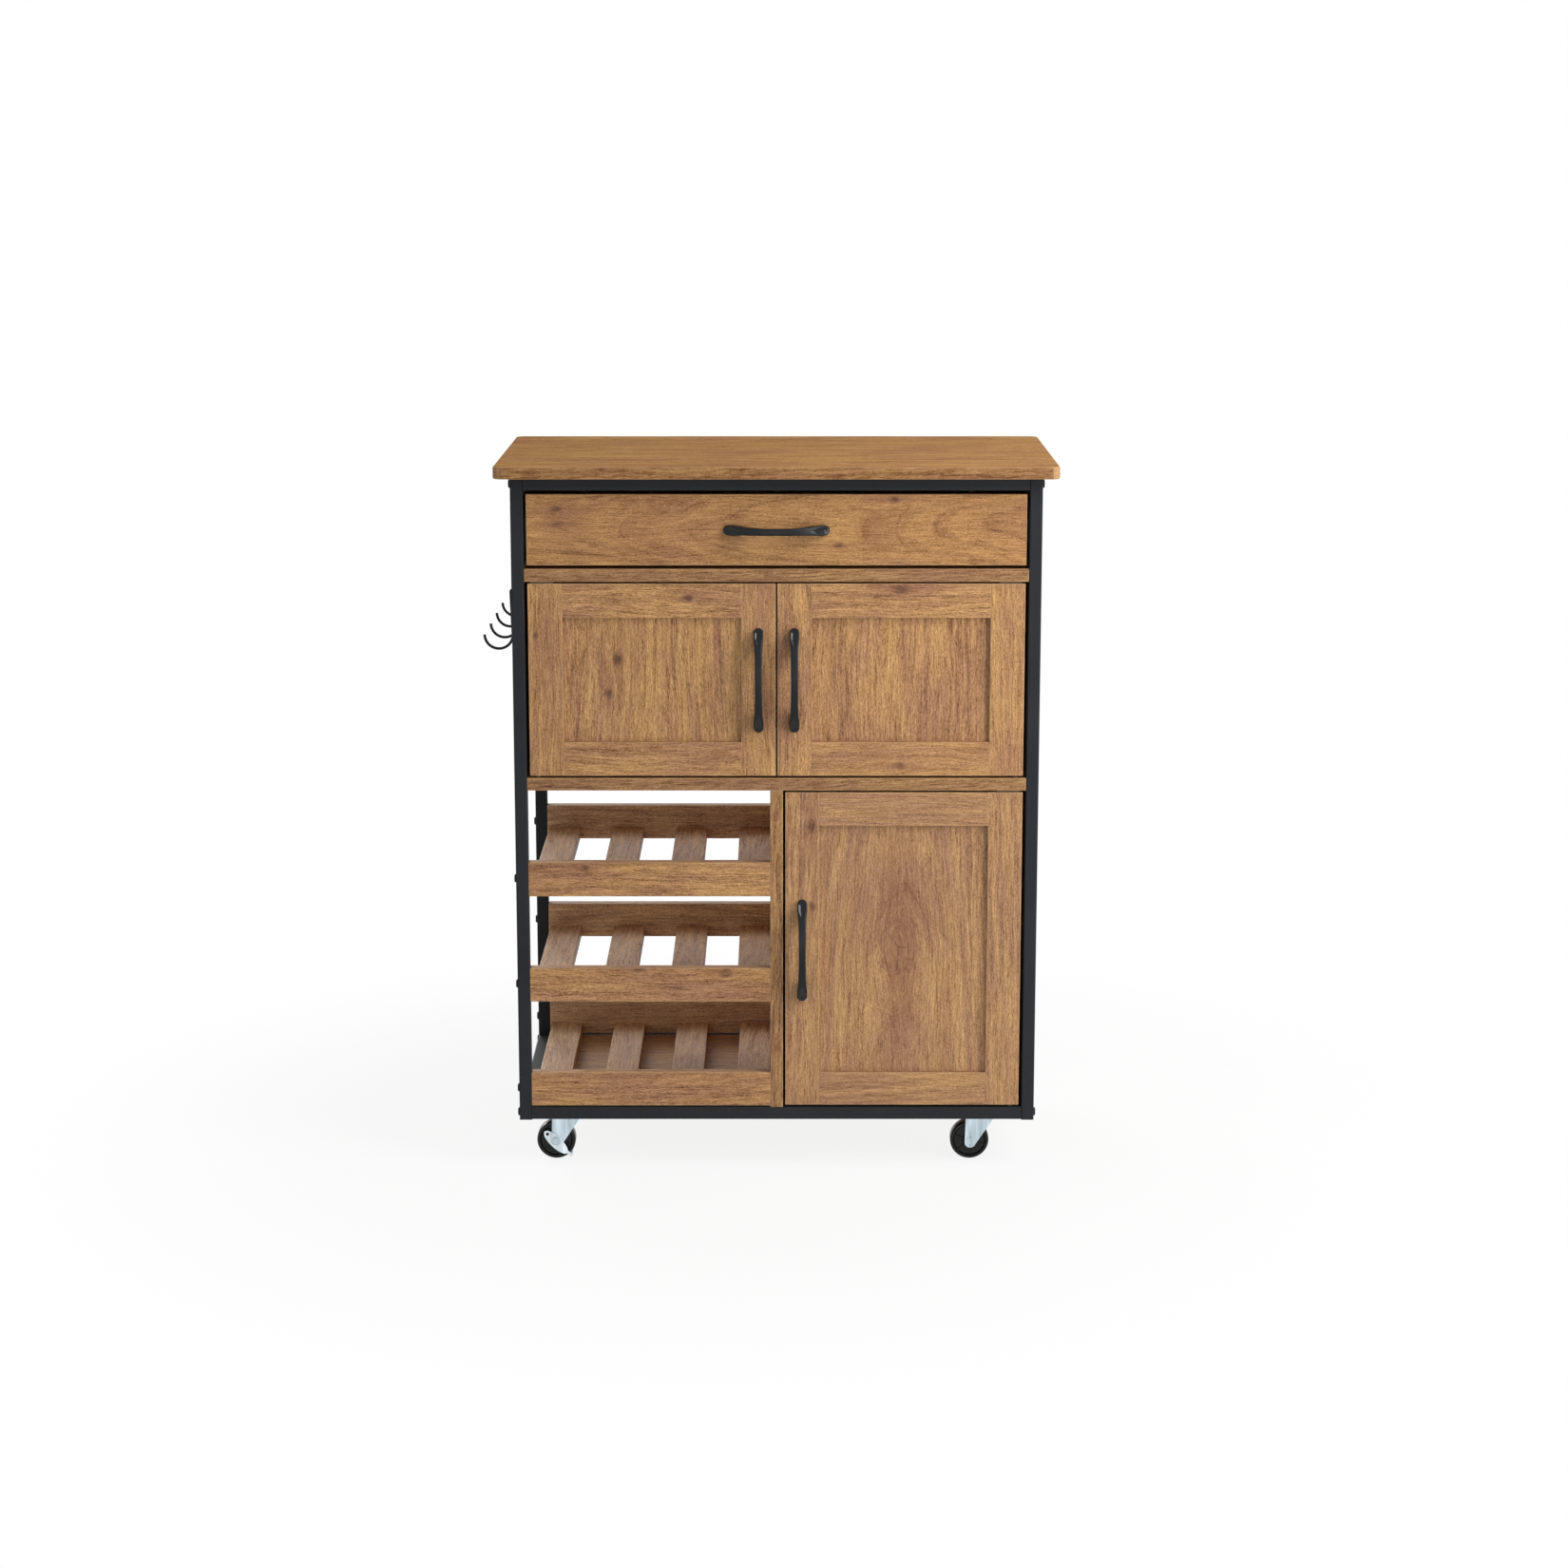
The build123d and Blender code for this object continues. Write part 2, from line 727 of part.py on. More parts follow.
# Hinge pins: at a door's top on a small plate under the board, at its foot on a round collar
with BuildPart() as hinge_pins:
    for side, hinge_edge, free_edge, board_below, board_above in doors.values():
        pivot_x = hinge_edge - side * pivot_inset
        heel = pivot_x + side * hinge_plate_heel
        low_x, high_x = sorted((heel, heel - side * hinge_plate_length))
        plate_foot = board_above - door_top_gap + hinge_plate_gap
        block(
            (low_x, pivot_y - hinge_plate_width / 2, plate_foot),
            (high_x, pivot_y + hinge_plate_width / 2, board_above),
        )
        rod(
            (pivot_x, pivot_y, board_above + pivot_root),
            opposite(up),
            pivot_radius,
            pivot_root + door_top_gap + pivot_grip,
        )
        rod(
            (pivot_x, pivot_y, board_below - pivot_root),
            up,
            pivot_radius,
            pivot_root + door_bottom_gap + pivot_grip,
        )
        collar_height = door_bottom_gap - pivot_rest_gap
        rod((pivot_x, pivot_y, board_below), up, pivot_collar_radius, collar_height)
keep(hinge_pins, "hinge_pins")

# Magnetic catches under the boards, behind the doors' free edges
with BuildPart() as door_catches:
    catch_front = door_back + strike_thickness + catch_gap
    for side, hinge_edge, free_edge, board_below, board_above in doors.values():
        grip_x = free_edge + side * stile_width / 2
        block(
            (grip_x - catch_width / 2, catch_front, board_above - catch_height),
            (grip_x + catch_width / 2, catch_front + catch_depth, board_above),
        )
keep(door_catches, "door_catches")

# Drawer: a front, and behind it a box between the slides
drawer_start = front + board
drawer_foot = drawer_shelf_top + drawer_lift
drawer_top = drawer_foot + drawer_wall_height
drawer_end = back_face - drawer_back_clearance
box_left, box_right = inner_left + slide_thickness, inner_right - slide_thickness
drawer_floor = drawer_foot + drawer_floor_lift
drawer_floor_top = drawer_floor + drawer_floor_thickness
drawer_face_foot = drawer_shelf_top + drawer_gap
drawer_face_top = top_rail_foot - drawer_gap
drawer_face_middle = (drawer_face_foot + drawer_face_top) / 2

with BuildPart() as drawer_front:
    block(
        (inner_left + drawer_side_gap, front, drawer_face_foot),
        (inner_right - drawer_side_gap, drawer_start, drawer_face_top),
    )
    chamfer(drawer_front.edges().group_by(Axis.Y)[0], board_bevel)
    handle_holes(cabinet_x, drawer_face_middle, across, drawer_start)
keep(drawer_front, "drawer_front")

for label, outer, inward in (("drawer_left_side", box_left, 1), ("drawer_right_side", box_right, -1)):
    inner = outer + inward * drawer_wall
    groove = inner - inward * drawer_groove
    with BuildPart() as drawer_side:
        block(
            (min(outer, inner), drawer_start, drawer_foot), (max(outer, inner), drawer_end, drawer_top)
        )
        block(
            (min(inner, groove), drawer_start, drawer_floor),
            (max(inner, groove), drawer_end, drawer_floor_top),
            Mode.SUBTRACT,
        )
    keep(drawer_side, label)

with BuildPart() as drawer_back:
    block(
        (box_left + drawer_wall, drawer_end - drawer_wall, drawer_floor_top),
        (box_right - drawer_wall, drawer_end, drawer_top),
    )
keep(drawer_back, "drawer_back")

floor_set_in = drawer_wall - drawer_groove + groove_clearance
with BuildPart() as drawer_bottom:
    block(
        (box_left + floor_set_in, drawer_start, drawer_floor),
        (box_right - floor_set_in, drawer_end, drawer_floor_top),
    )
keep(drawer_bottom, "drawer_bottom")

bow_handle("drawer_handle", cabinet_x, drawer_face_middle, across, drawer_start)

# Slides: a rail on each side panel, a runner on each side of the drawer, and balls between them
slide_front = drawer_start + slide_setback
slide_length = drawer_end - slide_end_gap - slide_front
slide_middle = (drawer_foot + drawer_top) / 2
ball_ring = (slide_height / 2 - slide_sheet + runner_height / 2) / 2
ball_radius = (slide_height / 2 - slide_sheet - runner_height / 2) / 2 - ball_clearance
cage_web = slide_sheet + cage_gap
slide_walls = ((inner_left, 1), (inner_right, -1))


def channel(wall, inward, web, flange_end, half_height, sheet, start, length):
    """A channel along the drawer's travel, its web and flanges measured from the side panel."""
    web_near, web_far = web
    spans = [(web_near, web_far, -half_height, half_height)]
    near, far = min(web_near, flange_end), max(web_far, flange_end)
    for way in (-1, 1):
        spans.append((near, far, *sorted((way * (half_height - sheet), way * half_height))))
    for near, far, low, high in spans:
        low_x, high_x = sorted((wall + inward * near, wall + inward * far))
        block((low_x, start, slide_middle + low), (high_x, start + length, slide_middle + high))


with BuildPart() as slide_rails:
    for wall, inward in slide_walls:
        channel(
            wall,
            inward,
            (0, slide_sheet),
            slide_flange,
            slide_height / 2,
            slide_sheet,
            slide_front,
            slide_length,
        )
keep(slide_rails, "slide_rails")

with BuildPart() as slide_runners:
    for wall, inward in slide_walls:
        channel(
            wall,
            inward,
            (slide_thickness - slide_sheet, slide_thickness),
            slide_thickness - slide_sheet - runner_flange,
            runner_height / 2,
            slide_sheet,
            slide_front,
            slide_length,
        )
keep(slide_runners, "slide_runners")

cage_front = slide_front + cage_start
ball_rows = spread(cage_ball_count, cage_ball_pitch, cage_front + cage_length / 2)
with BuildPart() as slide_cages:
    for wall, inward in slide_walls:
        channel(
            wall,
            inward,
            (cage_web, cage_web + cage_sheet),
            cage_web + cage_sheet + cage_flange,
            ball_ring + cage_sheet / 2,
            cage_sheet,
            cage_front,
            cage_length,
        )
    ball_places = [
        (wall + inward * (cage_web + cage_sheet + cage_flange / 2), y, slide_middle + way * ball_ring)
        for wall, inward in slide_walls
        for y in ball_rows
        for way in (-1, 1)
    ]
    with Locations(*ball_places):
        Cylinder(ball_radius + ball_pocket_play, 2 * ball_radius, mode=Mode.SUBTRACT)
        Sphere(ball_radius)
keep(slide_cages, "slide_cages")

# Screws: worktop, bottom board, rack, back panels and hook bar
with BuildPart() as wood_screws:
    head = (screw_head_radius, screw_head_height)
    for x, y in worktop_screws:
        fastener((x, y, top_rail_foot), up, screw_radius, tube + screw_grip, *head)
    for x, y in tab_screws:
        seat = (x, y, caster_height - tab_thickness)
        fastener(seat, up, screw_radius, tab_thickness + screw_grip, *head)
    for y, z in divider_screws:
        fastener((divider_right, y, z), opposite(across), screw_radius, board + screw_grip, *head)
    for x, z in back_screws:
        fastener((x, back, z), opposite(along), screw_radius, back_thickness + screw_grip, *head)
    for y in hook_screws:
        seat = (panel_left - hook_rail_thickness, y, hook_screw_level)
        fastener(seat, across, screw_radius, hook_rail_thickness + screw_grip, *head)
keep(wood_screws, "wood_screws")

# Casters, with their wheels trailing to the left
plate_foot = caster_height - plate_thickness
crown_foot = 2 * wheel_radius + wheel_headroom
crown_top = crown_foot + fork_crown_thickness
lower_race_top = crown_top + lower_race_height
hub_half = wheel_width / 2 + hub_proud
fork_inner = hub_half + running_gap
fork_outer = fork_inner + fork_sheet
lever_back = fork_outer + running_gap
lever_front = lever_back + lever_sheet

with BuildPart() as caster_plates:
    for x, y in caster_middles.values():
        with BuildSketch(Plane.XY.offset(plate_foot)):
            with Locations((x, y)):
                RectangleRounded(plate_length, plate_width, plate_corner_radius)
        extrude(amount=plate_thickness)
        race_foot = lower_race_top + running_gap
        rod((x, y, race_foot), up, race_radius, plate_foot - race_foot)
        head_foot = crown_foot - running_gap - kingpin_head_height
        rod((x, y, head_foot), up, kingpin_radius, race_foot - head_foot)
        rod((x, y, head_foot), up, kingpin_head_radius, kingpin_head_height)
    for x, y in plate_holes:
        rod((x, y, plate_foot), up, screw_radius + fit, plate_thickness, Mode.SUBTRACT)
keep(caster_plates, "caster_plates")

with BuildPart() as caster_screws:
    for x, y in plate_holes:
        fastener(
            (x, y, plate_foot),
            up,
            screw_radius,
            plate_thickness + screw_grip,
            screw_head_radius,
            screw_head_height,
        )
keep(caster_screws, "caster_screws")


def caster_fork(label, x, y, braked):
    """A stamped fork that turns on its plate's pin, with the wheel's axle riveted through it."""
    axle_x = x - caster_trail
    front_seat = lever_front + running_gap if braked else fork_outer
    with BuildPart() as fork:
        crown_back, crown_front = axle_x - fork_heel, x + fork_crown_front
        block((crown_back, y - fork_outer, crown_foot), (crown_front, y + fork_outer, crown_top))
        for cheek_back in (y - fork_inner, y + fork_outer):
            with BuildSketch(Plane.XZ.offset(-cheek_back)):
                with Locations((axle_x + fork_tip_forward, wheel_radius - fork_tip_drop)):
                    Circle(fork_tip_radius)
                with Locations(((crown_back + crown_front) / 2, crown_top)):
                    Rectangle(
                        crown_front - crown_back,
                        fork_crown_thickness,
                        align=(Align.CENTER, Align.MAX),
                    )
                make_hull()
            extrude(amount=fork_sheet)
        rod((x, y, crown_top), up, race_radius, lower_race_height)
        rod(
            (x, y, crown_foot),
            up,
            kingpin_radius + axle_play,
            lower_race_top - crown_foot,
            Mode.SUBTRACT,
        )
        axle_line = (axle_x, y - fork_outer, wheel_radius)
        rod(axle_line, along, axle_radius + fit, 2 * fork_outer, Mode.SUBTRACT)
        rod((axle_x, y - front_seat, wheel_radius), along, axle_radius, front_seat + fork_outer)
        for seat, outward in ((y - front_seat, opposite(along)), (y + fork_outer, along)):
            rod((axle_x, seat, wheel_radius), outward, axle_head_radius, axle_head_height)
    keep(fork, label)


def caster_wheel(label, x, y):
    """A wheel with a dished side, turned about its axle."""
    axle = Plane(origin=(x - caster_trail, y, wheel_radius))
    dish = wheel_width / 2 - wheel_dish_depth
    rim = wheel_radius - wheel_rim
    bore = axle_radius + axle_play
    half_outline = [
        (bore, hub_half),
        (hub_radius, hub_half),
        (hub_radius, dish),
        (rim, dish),
        (rim, wheel_width / 2),
        (wheel_radius, wheel_width / 2),
    ]
    with BuildPart() as wheel:
        with BuildSketch(axle) as section:
            with BuildLine():
                Polyline(*half_outline, *[(r, -w) for r, w in reversed(half_outline)], close=True)
            make_face()
            fillet(section.vertices().group_by(Axis.X)[-1], wheel_edge_radius)
        revolve(axis=Axis(axle.origin, along))
    keep(wheel, label)


def brake_lever(label, x, y):
    """A pressed oval lever that hangs on the axle, with a slim toe and a pin across the tread."""
    axle = Vector(x - caster_trail, y - lever_back, wheel_radius)
    angle = math.radians(lever_angle)
    toe_way = Vector(math.cos(angle), 0, -math.sin(angle))
    toe_reach = wheel_radius + tread_pin_gap + tread_pin_radius
    toe = axle + toe_way * toe_reach
    neck = toe_reach - lever_lead
    with BuildPart() as lever:
        with BuildSketch(Plane(axle, x_dir=toe_way, z_dir=opposite(along))):
            with Locations((lever_lead, -lever_sag)):
                Ellipse(lever_length / 2, lever_width / 2)
            with Locations((lever_lead + neck / 2, 0)):
                SlotCenterToCenter(neck, lever_toe_width)
            with Locations((-lever_eye_reach, -lever_sag)):
                Circle(lever_eye_radius, mode=Mode.SUBTRACT)
            Circle(axle_radius + axle_play, mode=Mode.SUBTRACT)
        extrude(amount=lever_sheet)
        pin_end = wheel_width / 2 - wheel_edge_radius
        rod((toe.X, y - lever_front, toe.Z), along, tread_pin_radius, lever_front + pin_end)
    keep(lever, label)


for place, (x, y) in caster_middles.items():
    braked = place in ("front_left", "back_left")
    caster_fork(f"{place}_caster_fork", x, y, braked)
    caster_wheel(f"{place}_caster_wheel", x, y)
    if braked:
        brake_lever(f"{place}_brake_lever", x, y)
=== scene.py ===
import math

import bmesh
import bpy
from mathutils import Matrix, Vector


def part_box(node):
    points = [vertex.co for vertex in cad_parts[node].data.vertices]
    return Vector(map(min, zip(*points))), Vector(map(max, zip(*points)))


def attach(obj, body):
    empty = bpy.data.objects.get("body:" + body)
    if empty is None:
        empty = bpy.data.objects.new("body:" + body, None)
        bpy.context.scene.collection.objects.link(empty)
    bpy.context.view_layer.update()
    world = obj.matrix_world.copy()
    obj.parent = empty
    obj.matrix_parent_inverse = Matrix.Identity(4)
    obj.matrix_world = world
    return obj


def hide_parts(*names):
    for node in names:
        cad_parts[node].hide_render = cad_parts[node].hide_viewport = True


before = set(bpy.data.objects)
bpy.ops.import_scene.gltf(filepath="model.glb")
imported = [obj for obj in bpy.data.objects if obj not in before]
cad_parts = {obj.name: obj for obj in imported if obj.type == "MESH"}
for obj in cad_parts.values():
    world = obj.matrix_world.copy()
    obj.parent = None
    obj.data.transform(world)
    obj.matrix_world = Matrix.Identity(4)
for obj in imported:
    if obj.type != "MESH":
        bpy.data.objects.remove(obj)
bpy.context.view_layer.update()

# Sizes in metres, as the real cart has them
tube = 0.016
tube_corner = 0.0018
board_ease = 0.0006
worktop_corner = 0.012
worktop_ease = 0.0015
stile_width = 0.043
tray_count = 3
tray_pitch = 0.1378
front_board_height = 0.044
back_board_height = 0.046
slat_count = 4
slat_width = 0.042
merge_distance = 1e-6
X, Y, Z = 0, 1, 2


# Shader building blocks
def fill(tree, socket, value):
    """Puts a value or another node's output into a socket."""
    if isinstance(value, bpy.types.NodeSocket):
        tree.links.new(value, socket)
    else:
        socket.default_value = value


def add_node(tree, kind, sockets=None, **settings):
    """Adds a node with its settings and the values or links of its sockets."""
    made = tree.nodes.new(kind)
    for name, value in settings.items():
        setattr(made, name, value)
    for name, value in (sockets or {}).items():
        fill(tree, made.inputs[name], value)
    return made


def calculate(tree, operation, *values, clamp=False):
    """A Math node's result."""
    made = add_node(tree, "ShaderNodeMath", operation=operation, use_clamp=clamp)
    for socket, value in zip(made.inputs, values):
        fill(tree, socket, value)
    return made.outputs[0]


def multiply(tree, first, second):
    """The product of two values."""
    return calculate(tree, "MULTIPLY", first, second)


def calculate_vector(tree, operation, *values):
    """A Vector Math node's vector result."""
    made = add_node(tree, "ShaderNodeVectorMath", operation=operation)
    for socket, value in zip(made.inputs, values):
        fill(tree, socket, value)
    return made.outputs[0]


def blend_colours(tree, share, first, second, way="MIX"):
    """A Mix node's colour."""
    made = add_node(tree, "ShaderNodeMix", data_type="RGBA", blend_type=way)
    fill(tree, made.inputs[0], share)
    fill(tree, made.inputs[6], first)
    fill(tree, made.inputs[7], second)
    return made.outputs[2]


def step_up(tree, value, low, high):
    """0 below low and 1 above high, with a smooth rise between them."""
    made = add_node(
        tree,
        "ShaderNodeMapRange",
        {"Value": value, "From Min": low, "From Max": high},
        interpolation_type="SMOOTHSTEP",
    )
    return made.outputs[0]


def stretched_noise(tree, place, stretch, detail=2.0, roughness=0.5, distortion=0.0):
    """Noise whose grain is as fine along each axis as the stretch says, per metre."""
    scaled = calculate_vector(tree, "MULTIPLY", place, stretch)
    made = add_node(
        tree,
        "ShaderNodeTexNoise",
        {
            "Vector": scaled,
            "Scale": 1.0,
            "Detail": detail,
            "Roughness": roughness,
            "Distortion": distortion,
        },
    )
    return made.outputs[0]


def swing(tree, noise, share, base=0.0, middle=0.5):
    """Noise as a swing to both sides of a base value."""
    return calculate(tree, "MULTIPLY_ADD", calculate(tree, "SUBTRACT", noise, middle), share, base)


number_socket, vector_socket, tint_socket = "NodeSocketFloat", "NodeSocketVector", "NodeSocketColor"


def new_group(name, inputs, outputs):
    """A shader node group with its sockets, and its tree, input and output nodes."""
    tree = bpy.data.node_groups.new(name, "ShaderNodeTree")
    for label, kind, default in inputs:
        socket = tree.interface.new_socket(name=label, in_out="INPUT", socket_type=kind)
        socket.default_value = default
    for label, kind in outputs:
        tree.interface.new_socket(name=label, in_out="OUTPUT", socket_type=kind)
    return tree, tree.nodes.new("NodeGroupInput"), tree.nodes.new("NodeGroupOutput")


def add_group(tree, group, sockets=None):
    """Places a node group in a tree."""
    made = tree.nodes.new("ShaderNodeGroup")
    made.node_tree = group
    for name, value in (sockets or {}).items():
        fill(tree, made.inputs[name], value)
    return made


def colour(red, green, blue):
    """A display colour of 0 to 255 as linear light."""
    levels = [level / 255 for level in (red, green, blue)]
    linear = [
        level / 12.92 if level <= 0.04045 else ((level + 0.055) / 1.055) ** 2.4 for level in levels
    ]
    return (*linear, 1.0)


# Oak-look laminate: grain that flows along a board, and knots that it flows round
oak_gold = colour(181, 137, 86)
oak_russet = colour(159, 115, 83)
knot_heart = colour(66, 38, 32)
knot_ring = colour(112, 74, 60)
knot_stain = colour(132, 84, 62)
crack_brown = colour(84, 54, 42)
edge_band_brown = colour(96, 66, 44)
# Painted highlight: a pale tan that lightens every board's eased edges, as if they caught the light
edge_highlight_tan = colour(214, 180, 138)
ring_share = 0.34
stain_share = 0.45
crack_share = 0.75
edge_band_share = 0.26
edge_highlight_share = 0.35

# A knot's marks in radii. What lies along the grain is squeezed, so a knot is longer that way.
knot_squeeze = 0.65
knot_raggedness = 1.6
knot_edge = 1.15
knot_core = 0.35
knot_rim_width = 0.30
push_along = 1.5
tail_squeeze = 0.22
tail_raggedness = 1.2
tail_reach = 1.9

# How far a crack strays from its line, in metres, and how many of its widths it takes to fade
crack_waver = 0.004
crack_fading = 1.8

# How far the grain drifts across a board, in long bends and in ripples, in metres
bend_drift = 0.030
ripple_drift = 0.0035

# How much each layer of the grain lightens or darkens the wood
streak_share = 0.75
line_share = 1.7
rib_share = 0.5
dash_share = 0.45
speck_share = 0.5
banding_share = 1.5
pore_share = 0.16
stroke_share = 0.24
vein_share = 0.22

# The veins' spacing and width, the wood's own tone, its gloss and its relief
growth_ring_count = 9.0
growth_ring_width = 0.13
wood_light = 1.05
darkest_wood = 0.25
streak_hue = 0.5
tint_powers = (0.86, 1.06, 1.18)
wood_roughness = 0.48
mark_roughness = 0.5
speck_relief = 0.8
pore_depth = 0.00012
edge_band_slant = math.radians(-4.0)


def make_knot_group():
    """Pushes the grain aside around a knot, and gives how deep in the knot a point is."""
    tree, given, result = new_group(
        "grain_round_knot",
        [
            ("Place", vector_socket, (0, 0, 0)),
            ("Middle", vector_socket, (0, 0, 0)),
            ("Radius", number_socket, 0.01),
        ],
        [
            ("Place", vector_socket),
            ("Depth", number_socket),
            ("Rim", number_socket),
            ("Tail", number_socket),
        ],
    )
    place, middle, radius = given.outputs[0], given.outputs[1], given.outputs[2]
    ragged = stretched_noise(tree, place, (120.0, 260.0, 3.0), detail=2.0)
    away = calculate_vector(tree, "SUBTRACT", place, middle)
    parts = add_node(tree, "ShaderNodeSeparateXYZ", {0: away})
    along = multiply(tree, parts.outputs[X], knot_squeeze)
    across = parts.outputs[Y]
    across_square = multiply(tree, across, across)
    square = calculate(tree, "MULTIPLY_ADD", along, along, across_square)
    radius_square = multiply(tree, radius, radius)
    distance = calculate(tree, "DIVIDE", calculate(tree, "SQRT", square), radius)
    push = calculate(tree, "DIVIDE", radius_square, calculate(tree, "ADD", square, radius_square))
    moved = add_node(
        tree,
        "ShaderNodeCombineXYZ",
        {
            0: multiply(tree, multiply(tree, along, push), push_along),
            1: multiply(tree, across, push),
        },
    )
    fill(tree, result.inputs[0], calculate_vector(tree, "SUBTRACT", place, moved.outputs[0]))
    edge = swing(tree, ragged, knot_raggedness, distance)
    fill(tree, result.inputs["Depth"], step_up(tree, edge, knot_edge, knot_core))
    off_rim = calculate(tree, "ABSOLUTE", calculate(tree, "SUBTRACT", edge, 1.0))
    fill(tree, result.inputs["Rim"], step_up(tree, off_rim, knot_rim_width, 0.0))
    flat = multiply(tree, along, tail_squeeze)
    long_square = calculate(tree, "MULTIPLY_ADD", flat, flat, across_square)
    tail = calculate(tree, "DIVIDE", calculate(tree, "SQRT", long_square), radius)
    tail = swing(tree, ragged, tail_raggedness, tail)
    fill(tree, result.inputs["Tail"], step_up(tree, tail, tail_reach, 0.0))
    return tree


def make_crack_group():
    """A hairline crack between two points: 1 on the line and 0 beside it."""
    tree, given, result = new_group(
        "hairline_crack",
        [
            ("Place", vector_socket, (0, 0, 0)),
            ("Start", vector_socket, (0, 0, 0)),
            ("End", vector_socket, (0.01, 0, 0)),
            ("Width", number_socket, 0.0006),
        ],
        [("Mask", number_socket)],
    )
    place, first, last, width = (given.outputs[index] for index in range(4))
    shaken = stretched_noise(tree, place, (160.0, 160.0, 3.0), detail=1.0)
    shift = swing(tree, shaken, crack_waver)
    bent = calculate_vector(
        tree, "ADD", place, add_node(tree, "ShaderNodeCombineXYZ", {0: shift, 1: shift}).outputs[0]
    )
    away = calculate_vector(tree, "SUBTRACT", bent, first)
    flat = calculate_vector(tree, "MULTIPLY", away, (1, 1, 0))
    way = calculate_vector(tree, "SUBTRACT", last, first)
    reach = add_node(tree, "ShaderNodeVectorMath", {0: flat, 1: way}, operation="DOT_PRODUCT")
    whole = add_node(tree, "ShaderNodeVectorMath", {0: way, 1: way}, operation="DOT_PRODUCT")
    share = calculate(tree, "DIVIDE", reach.outputs["Value"], whole.outputs["Value"], clamp=True)
    nearest = add_node(tree, "ShaderNodeVectorMath", {0: way, "Scale": share}, operation="SCALE")
    gap = calculate_vector(tree, "SUBTRACT", flat, nearest.outputs[0])
    distance = add_node(tree, "ShaderNodeVectorMath", {0: gap}, operation="LENGTH")
    faded = multiply(tree, width, crack_fading)
    mask = step_up(tree, distance.outputs["Value"], faded, 0.0)
    fill(tree, result.inputs[0], mask)
    return tree


def make_arch_group():
    """Bends straight growth rings into the nested arches of a flat-sawn board."""
    tree, given, result = new_group(
        "ring_arches",
        [
            ("Place", vector_socket, (0, 0, 0)),
            ("Crest", number_socket, 0.0),
            ("Spread", number_socket, 0.06),
            ("Run", number_socket, 0.15),
        ],
        [("Place", vector_socket)],
    )
    place, crest, spread, run = (given.outputs[index] for index in range(4))
    parts = add_node(tree, "ShaderNodeSeparateXYZ", {0: place})
    beside = calculate(tree, "SUBTRACT", parts.outputs[Y], crest)
    arched = calculate(tree, "DIVIDE", multiply(tree, beside, beside), spread)
    across = calculate(tree, "MULTIPLY_ADD", parts.outputs[X], run, arched)
    joined = add_node(
        tree, "ShaderNodeCombineXYZ", {0: parts.outputs[X], 1: across, 2: parts.outputs[Z]}
    )
    fill(tree, result.inputs[0], joined.outputs[0])
    return tree


